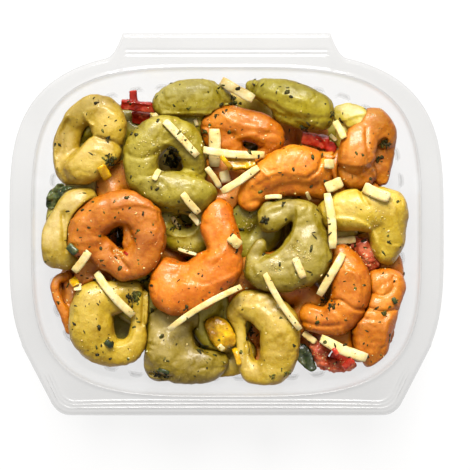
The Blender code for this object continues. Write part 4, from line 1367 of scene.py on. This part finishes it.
# Cheese shreds: both ends, and the width.
SHREDS = [
    ((-20.2, 36.2), (-9.6, 25), 2.6), ((-14.4, 12.6), (-9, 6.2), 2.4), ((-6.6, 21.2), (-2.2, 14.8), 2),
    ((-4, 34), (-4, 21.6), 4), ((-7.6, 27), (12.4, 25.4), 2.7), ((-1, 20.2), (0, 16.4), 3.4),
    ((10.4, 21.2), (-1.6, 13.2), 2.6), ((-1.8, 50), (8.8, 43.8), 3.4), ((35.7, 36.6), (38.6, 30.8), 2.4),
    ((32, 22.4), (35.4, 22.3), 3.2), ((32.6, 14.4), (38, 16.8), 3.8), ((45, 14.8), (53.2, 11.2), 3.8),
    ((33, 12.8), (34.8, -5.4), 2.8), ((12.6, 11.4), (18.2, 11.6), 1.5), ((35.6, -3), (42.6, -2.4), 2.6),
    ((38.3, -7), (30.4, -20.8), 2.7), ((22.4, -8.4), (25.2, -14.9), 2.5), ((12.5, -13.6), (24.2, -32), 2.1),
    ((31, -35), (46, -41.4), 3.5), ((25.4, -33.4), (29.4, -36.4), 2.2), ((-19, -32), (4.8, -17.9), 2.1),
    ((-43, -13.4), (-30.8, -27.6), 2.8), ((-45, -6.4), (-50.2, -13), 2.7), ((1, -1.4), (4.4, -4.6), 3.4),
    ((-22, 20.5), (-23.8, 17), 1.9), ((-2.6, -37.4), (-1, -39), 1.8), ((26.3, 13.2), (27.6, 10.6), 1.2),
    ((-49.2, -17), (-49, -19.2), 2.6), ((-10.6, 37.4), (-9.8, 35.2), 1.3), ((-18, 5), (-15.6, 1.4), 1.5),
    ((-12, 6), (-9, 2.4), 1.8), ((-16, -5.6), (-10, -7.4), 1.1), ((34.4, 32.4), (36.4, 30.4), 1.3),
]
# Small cut bits, as ends and width, for each kind.
BITS = {
    "yellow_pepper": [
        ((-41.4, 21.6), (-39, 17.4), 3.2), ((-1.9, 24.9), (1.6, 21), 1.6), ((-51, -15.2), (-49.6, -17.6), 3),
        ((2.4, -38.4), (4.2, -44), 1.8),
    ],
    "red_pepper": [((35.0, -38.2), (36.6, -40.6), 1.6), ((41.6, -42), (38.4, -44.8), 2.4),
                   ((-33.8, -6.4), (-32.4, -7.4), 0.9)],
    "spinach_leaf": [((-52, -4.4), (-49, -6.8), 2.6), ((-39.8, -35.8), (-37.6, -37.8), 2),
                     ((54.6, -21.6), (55.8, -23.6), 1.4), ((-22.6, -45.4), (-19, -46.6), 1.3)],
}
SHRED_SAG = 3.0


def upper_line(shares, heights):
    """The line stretched over the heights, as a stiff shred would rest on them."""
    line = heights.copy()
    for index in range(len(shares)):
        for left in range(index):
            for right in range(index + 1, len(shares)):
                part = (shares[index] - shares[left]) / (shares[right] - shares[left])
                chord = heights[left] + part * (heights[right] - heights[left])
                line[index] = max(line[index], chord)
    return line


def shred(rng, surface, start, end, width):
    """A grated stick of cheese with worn edges, lying on what is under it."""
    stations = 9
    sides = 8
    shares = np.linspace(0, 1, stations)
    line = np.outer(1 - shares, start) + np.outer(shares, end)
    bend = rng.uniform(-0.04, 0.04) * math.dist(start, end)
    across = np.array((start[1] - end[1], end[0] - start[0])) / math.dist(start, end)
    line += np.outer(np.sin(shares * math.pi) * bend, across)
    heights = []
    for x, y in line:
        found = []
        for aside in (-0.35, 0.0, 0.35):
            point, _ = surface.under(*(np.array((x, y)) + across * aside * width))
            found.append(point.z if point is not None else 0.0)
        heights.append(max(found))
    heights = np.array(heights)
    heights = upper_line(shares, np.maximum(heights, heights.max() - SHRED_SAG))
    thick = width * rng.uniform(0.55, 0.75)
    points = []
    for index in range(stations):
        taper = 0.82 if index in (0, stations - 1) else 1.0
        for side in range(sides):
            angle = 2 * math.pi * (side + 0.5) / sides
            wide = power(math.cos(angle), 0.5) * width / 2 * taper * rng.uniform(0.93, 1.07)
            high = power(math.sin(angle), 0.5) * thick / 2 * taper * rng.uniform(0.93, 1.07)
            x, y = line[index] + across * wide
            points.append((
                x * SPREAD + MIDDLE_X, y * SPREAD + MIDDLE_Y, heights[index] + thick * 0.42 + high))
    faces = []
    for index in range(stations - 1):
        for side in range(sides):
            after = (side + 1) % sides
            low, high = index * sides, (index + 1) * sides
            faces.append((low + side, high + side, high + after))
            faces.append((low + side, high + after, low + after))
    for base, flip in ((0, False), ((stations - 1) * sides, True)):
        for side in range(1, sides - 1):
            cap = (base, base + side, base + side + 1)
            faces.append(cap[::-1] if flip else cap)
    return np.array(points), np.array(faces)


# ---------------------------------------------------------------- the scene


def lay_food():
    """Makes every piece of dough and vegetable, and returns the surface of them all."""
    heap = heap_pieces()
    stack = heap + LOWER + VEGETABLES + UPPER + TOPMOST
    small = VEGETABLES + TOPMOST
    shown = []
    heap_parts = {}
    for index, piece in enumerate(stack):
        cell = FINE_CELL if piece in UPPER else SMALL_CELL if piece in small else COARSE_CELL
        points, faces = pressed_mesh(piece, stack[index + 1:], cell)
        if not len(points):
            continue
        shown.append((points, faces))
        if piece in heap:
            heap_parts.setdefault(piece.kind, []).append((points, faces))
            continue
        obj = add_mesh(piece.name + "_look", points, faces, piece.kind)
        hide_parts(piece.name)
    for kind, parts in heap_parts.items():
        obj = add_mesh("lower_" + kind, *joined(parts), kind)
        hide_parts("lower_tortellini")
    return joined(shown)


def lay_toppings(points, faces):
    rng = np.random.default_rng(7)
    surface = Surface(points, faces)
    shreds = [shred(rng, surface, *row) for row in SHREDS]
    cheese_points, cheese_faces = joined(shreds)
    food = (points, np.vstack([faces[:, [0, 1, 2]], faces[:, [0, 2, 3]]]))
    surface = Surface(*joined([food, (cheese_points, cheese_faces)]))
    for kind, rows in BITS.items():
        bits = [shred(rng, surface, *row) for row in rows]
        add_mesh(kind + "_bits", *joined(bits), kind)
    crumbs = scatter(rng, surface, 460, 0.14, 0.6, 2.8, 0.8)
    herbs = scatter(rng, surface, 900, 0.18, 1.25, 3.0, 0.3)
    herbs += side_scatter(rng, surface, 260, 0.2, 0.6)
    for x, y, spread, count in (
        (-38.2, 24, 2.2, 34), (-18, 25, 3.2, 70), (-30.6, -21.6, 2.2, 34), (-38.6, -36.8, 1.2, 12),
        (-8, -38.5, 1.6, 18), (2, 43.3, 1.4, 12), (34.8, 38.8, 0.8, 6), (51.8, -27, 1.1, 9),
        (33.5, -23.5, 2.2, 20), (26, 34.5, 1.6, 12), (-16.5, 2.5, 2.6, 16), (12.6, 4, 1.3, 10),
        (15, -47.5, 1.0, 6), (20.3, -46.4, 1.1, 8), (52.4, 29, 1.6, 22), (-39, 30.4, 1.1, 7),
        (-23, -47, 1.2, 9), (-19.6, -47.4, 1.2, 9), (-21.4, -34.4, 0.7, 5), (-13.4, -25, 0.8, 5),
        (50.6, 24, 1.2, 10), (-7, 33, 1.0, 5), (-36, -2, 1.4, 12), (8.4, -33, 1.2, 6),
    ):
        herbs += clump(rng, surface, x, y, spread, count, 0.4, 1.3, pile=0.8)
    for x, y, spread, count in (
        (-36, -8, 2.2, 40), (-14, 31, 3, 20), (24, -7, 4, 50), (16, -11, 3, 26), (8, 3, 3, 30),
        (-25, 28, 4, 30), (-13.5, -6.5, 2.8, 26), (48, 5, 4, 24), (6.5, -40, 2.5, 20),
        (-17, 3, 2.5, 20), (47, -8, 3, 26), (31, -41, 2.5, 16),
    ):
        crumbs += clump(rng, surface, x, y, spread, count, 0.18, 0.45, pile=0.3)
    add_mesh("cheese_shreds", cheese_points, cheese_faces, "cheese")
    add_mesh("cheese_crumbs", *joined(crumbs), "cheese")
    add_mesh("herb_flakes", *joined(herbs), "herbs")


def make_stage():
    mesh = bpy.data.meshes.new("floor")
    half = 3.0
    corners = [(-half, -half, -0.0001), (half, -half, -0.0001), (half, half, -0.0001), (-half, half, -0.0001)]
    mesh.from_pydata(corners, [], [(0, 1, 2, 3)])
    mesh.materials.append(floor_material())
    floor = bpy.data.objects.new("floor", mesh)
    bpy.context.scene.collection.objects.link(floor)

    world = bpy.data.worlds.new("studio")
    world.use_nodes = True
    world.node_tree.nodes["Background"].inputs["Color"].default_value = (1.0, 0.975, 0.93, 1.0)
    world.node_tree.nodes["Background"].inputs["Strength"].default_value = 0.60
    bpy.context.scene.world = world

    for name, place, size, watts, colour in (
        ("key", (0.0, 0.46, 0.52), 0.32, 10.9, (1.0, 0.985, 0.96)),
        ("fill", (-0.5, -0.1, 0.6), 0.6, 0.7, (1.0, 0.97, 0.93)),
    ):
        light = bpy.data.lights.new(name, "AREA")
        light.energy = watts
        light.size = size
        light.color = colour
        lamp = bpy.data.objects.new(name, light)
        lamp.location = place
        aim = Vector((0, 0, 0.03)) - Vector(place)
        lamp.rotation_euler = aim.to_track_quat("-Z", "Y").to_euler()
        bpy.context.scene.collection.objects.link(lamp)


# The camera looks straight down from well above the rim, and its view is this wide there.
CAMERA_ABOVE = 750.0
VIEW_WIDTH = 155.1
CAMERA_ASIDE = (2.8, -1.0)
LENS = 50.0


def make_camera():
    camera = bpy.data.cameras.new("camera")
    camera.lens = LENS
    camera.sensor_width = LENS * VIEW_WIDTH / CAMERA_ABOVE
    obj = bpy.data.objects.new("camera", camera)
    x, y = MIDDLE_X + CAMERA_ASIDE[0], MIDDLE_Y + CAMERA_ASIDE[1]
    obj.location = Vector((x, y, TRAY_HEIGHT + CAMERA_ABOVE)) * MM
    bpy.context.scene.collection.objects.link(obj)
    bpy.context.scene.camera = obj
    bpy.context.scene.view_settings.view_transform = "Standard"


lay_toppings(*lay_food())
make_tray()
make_stage()
make_camera()
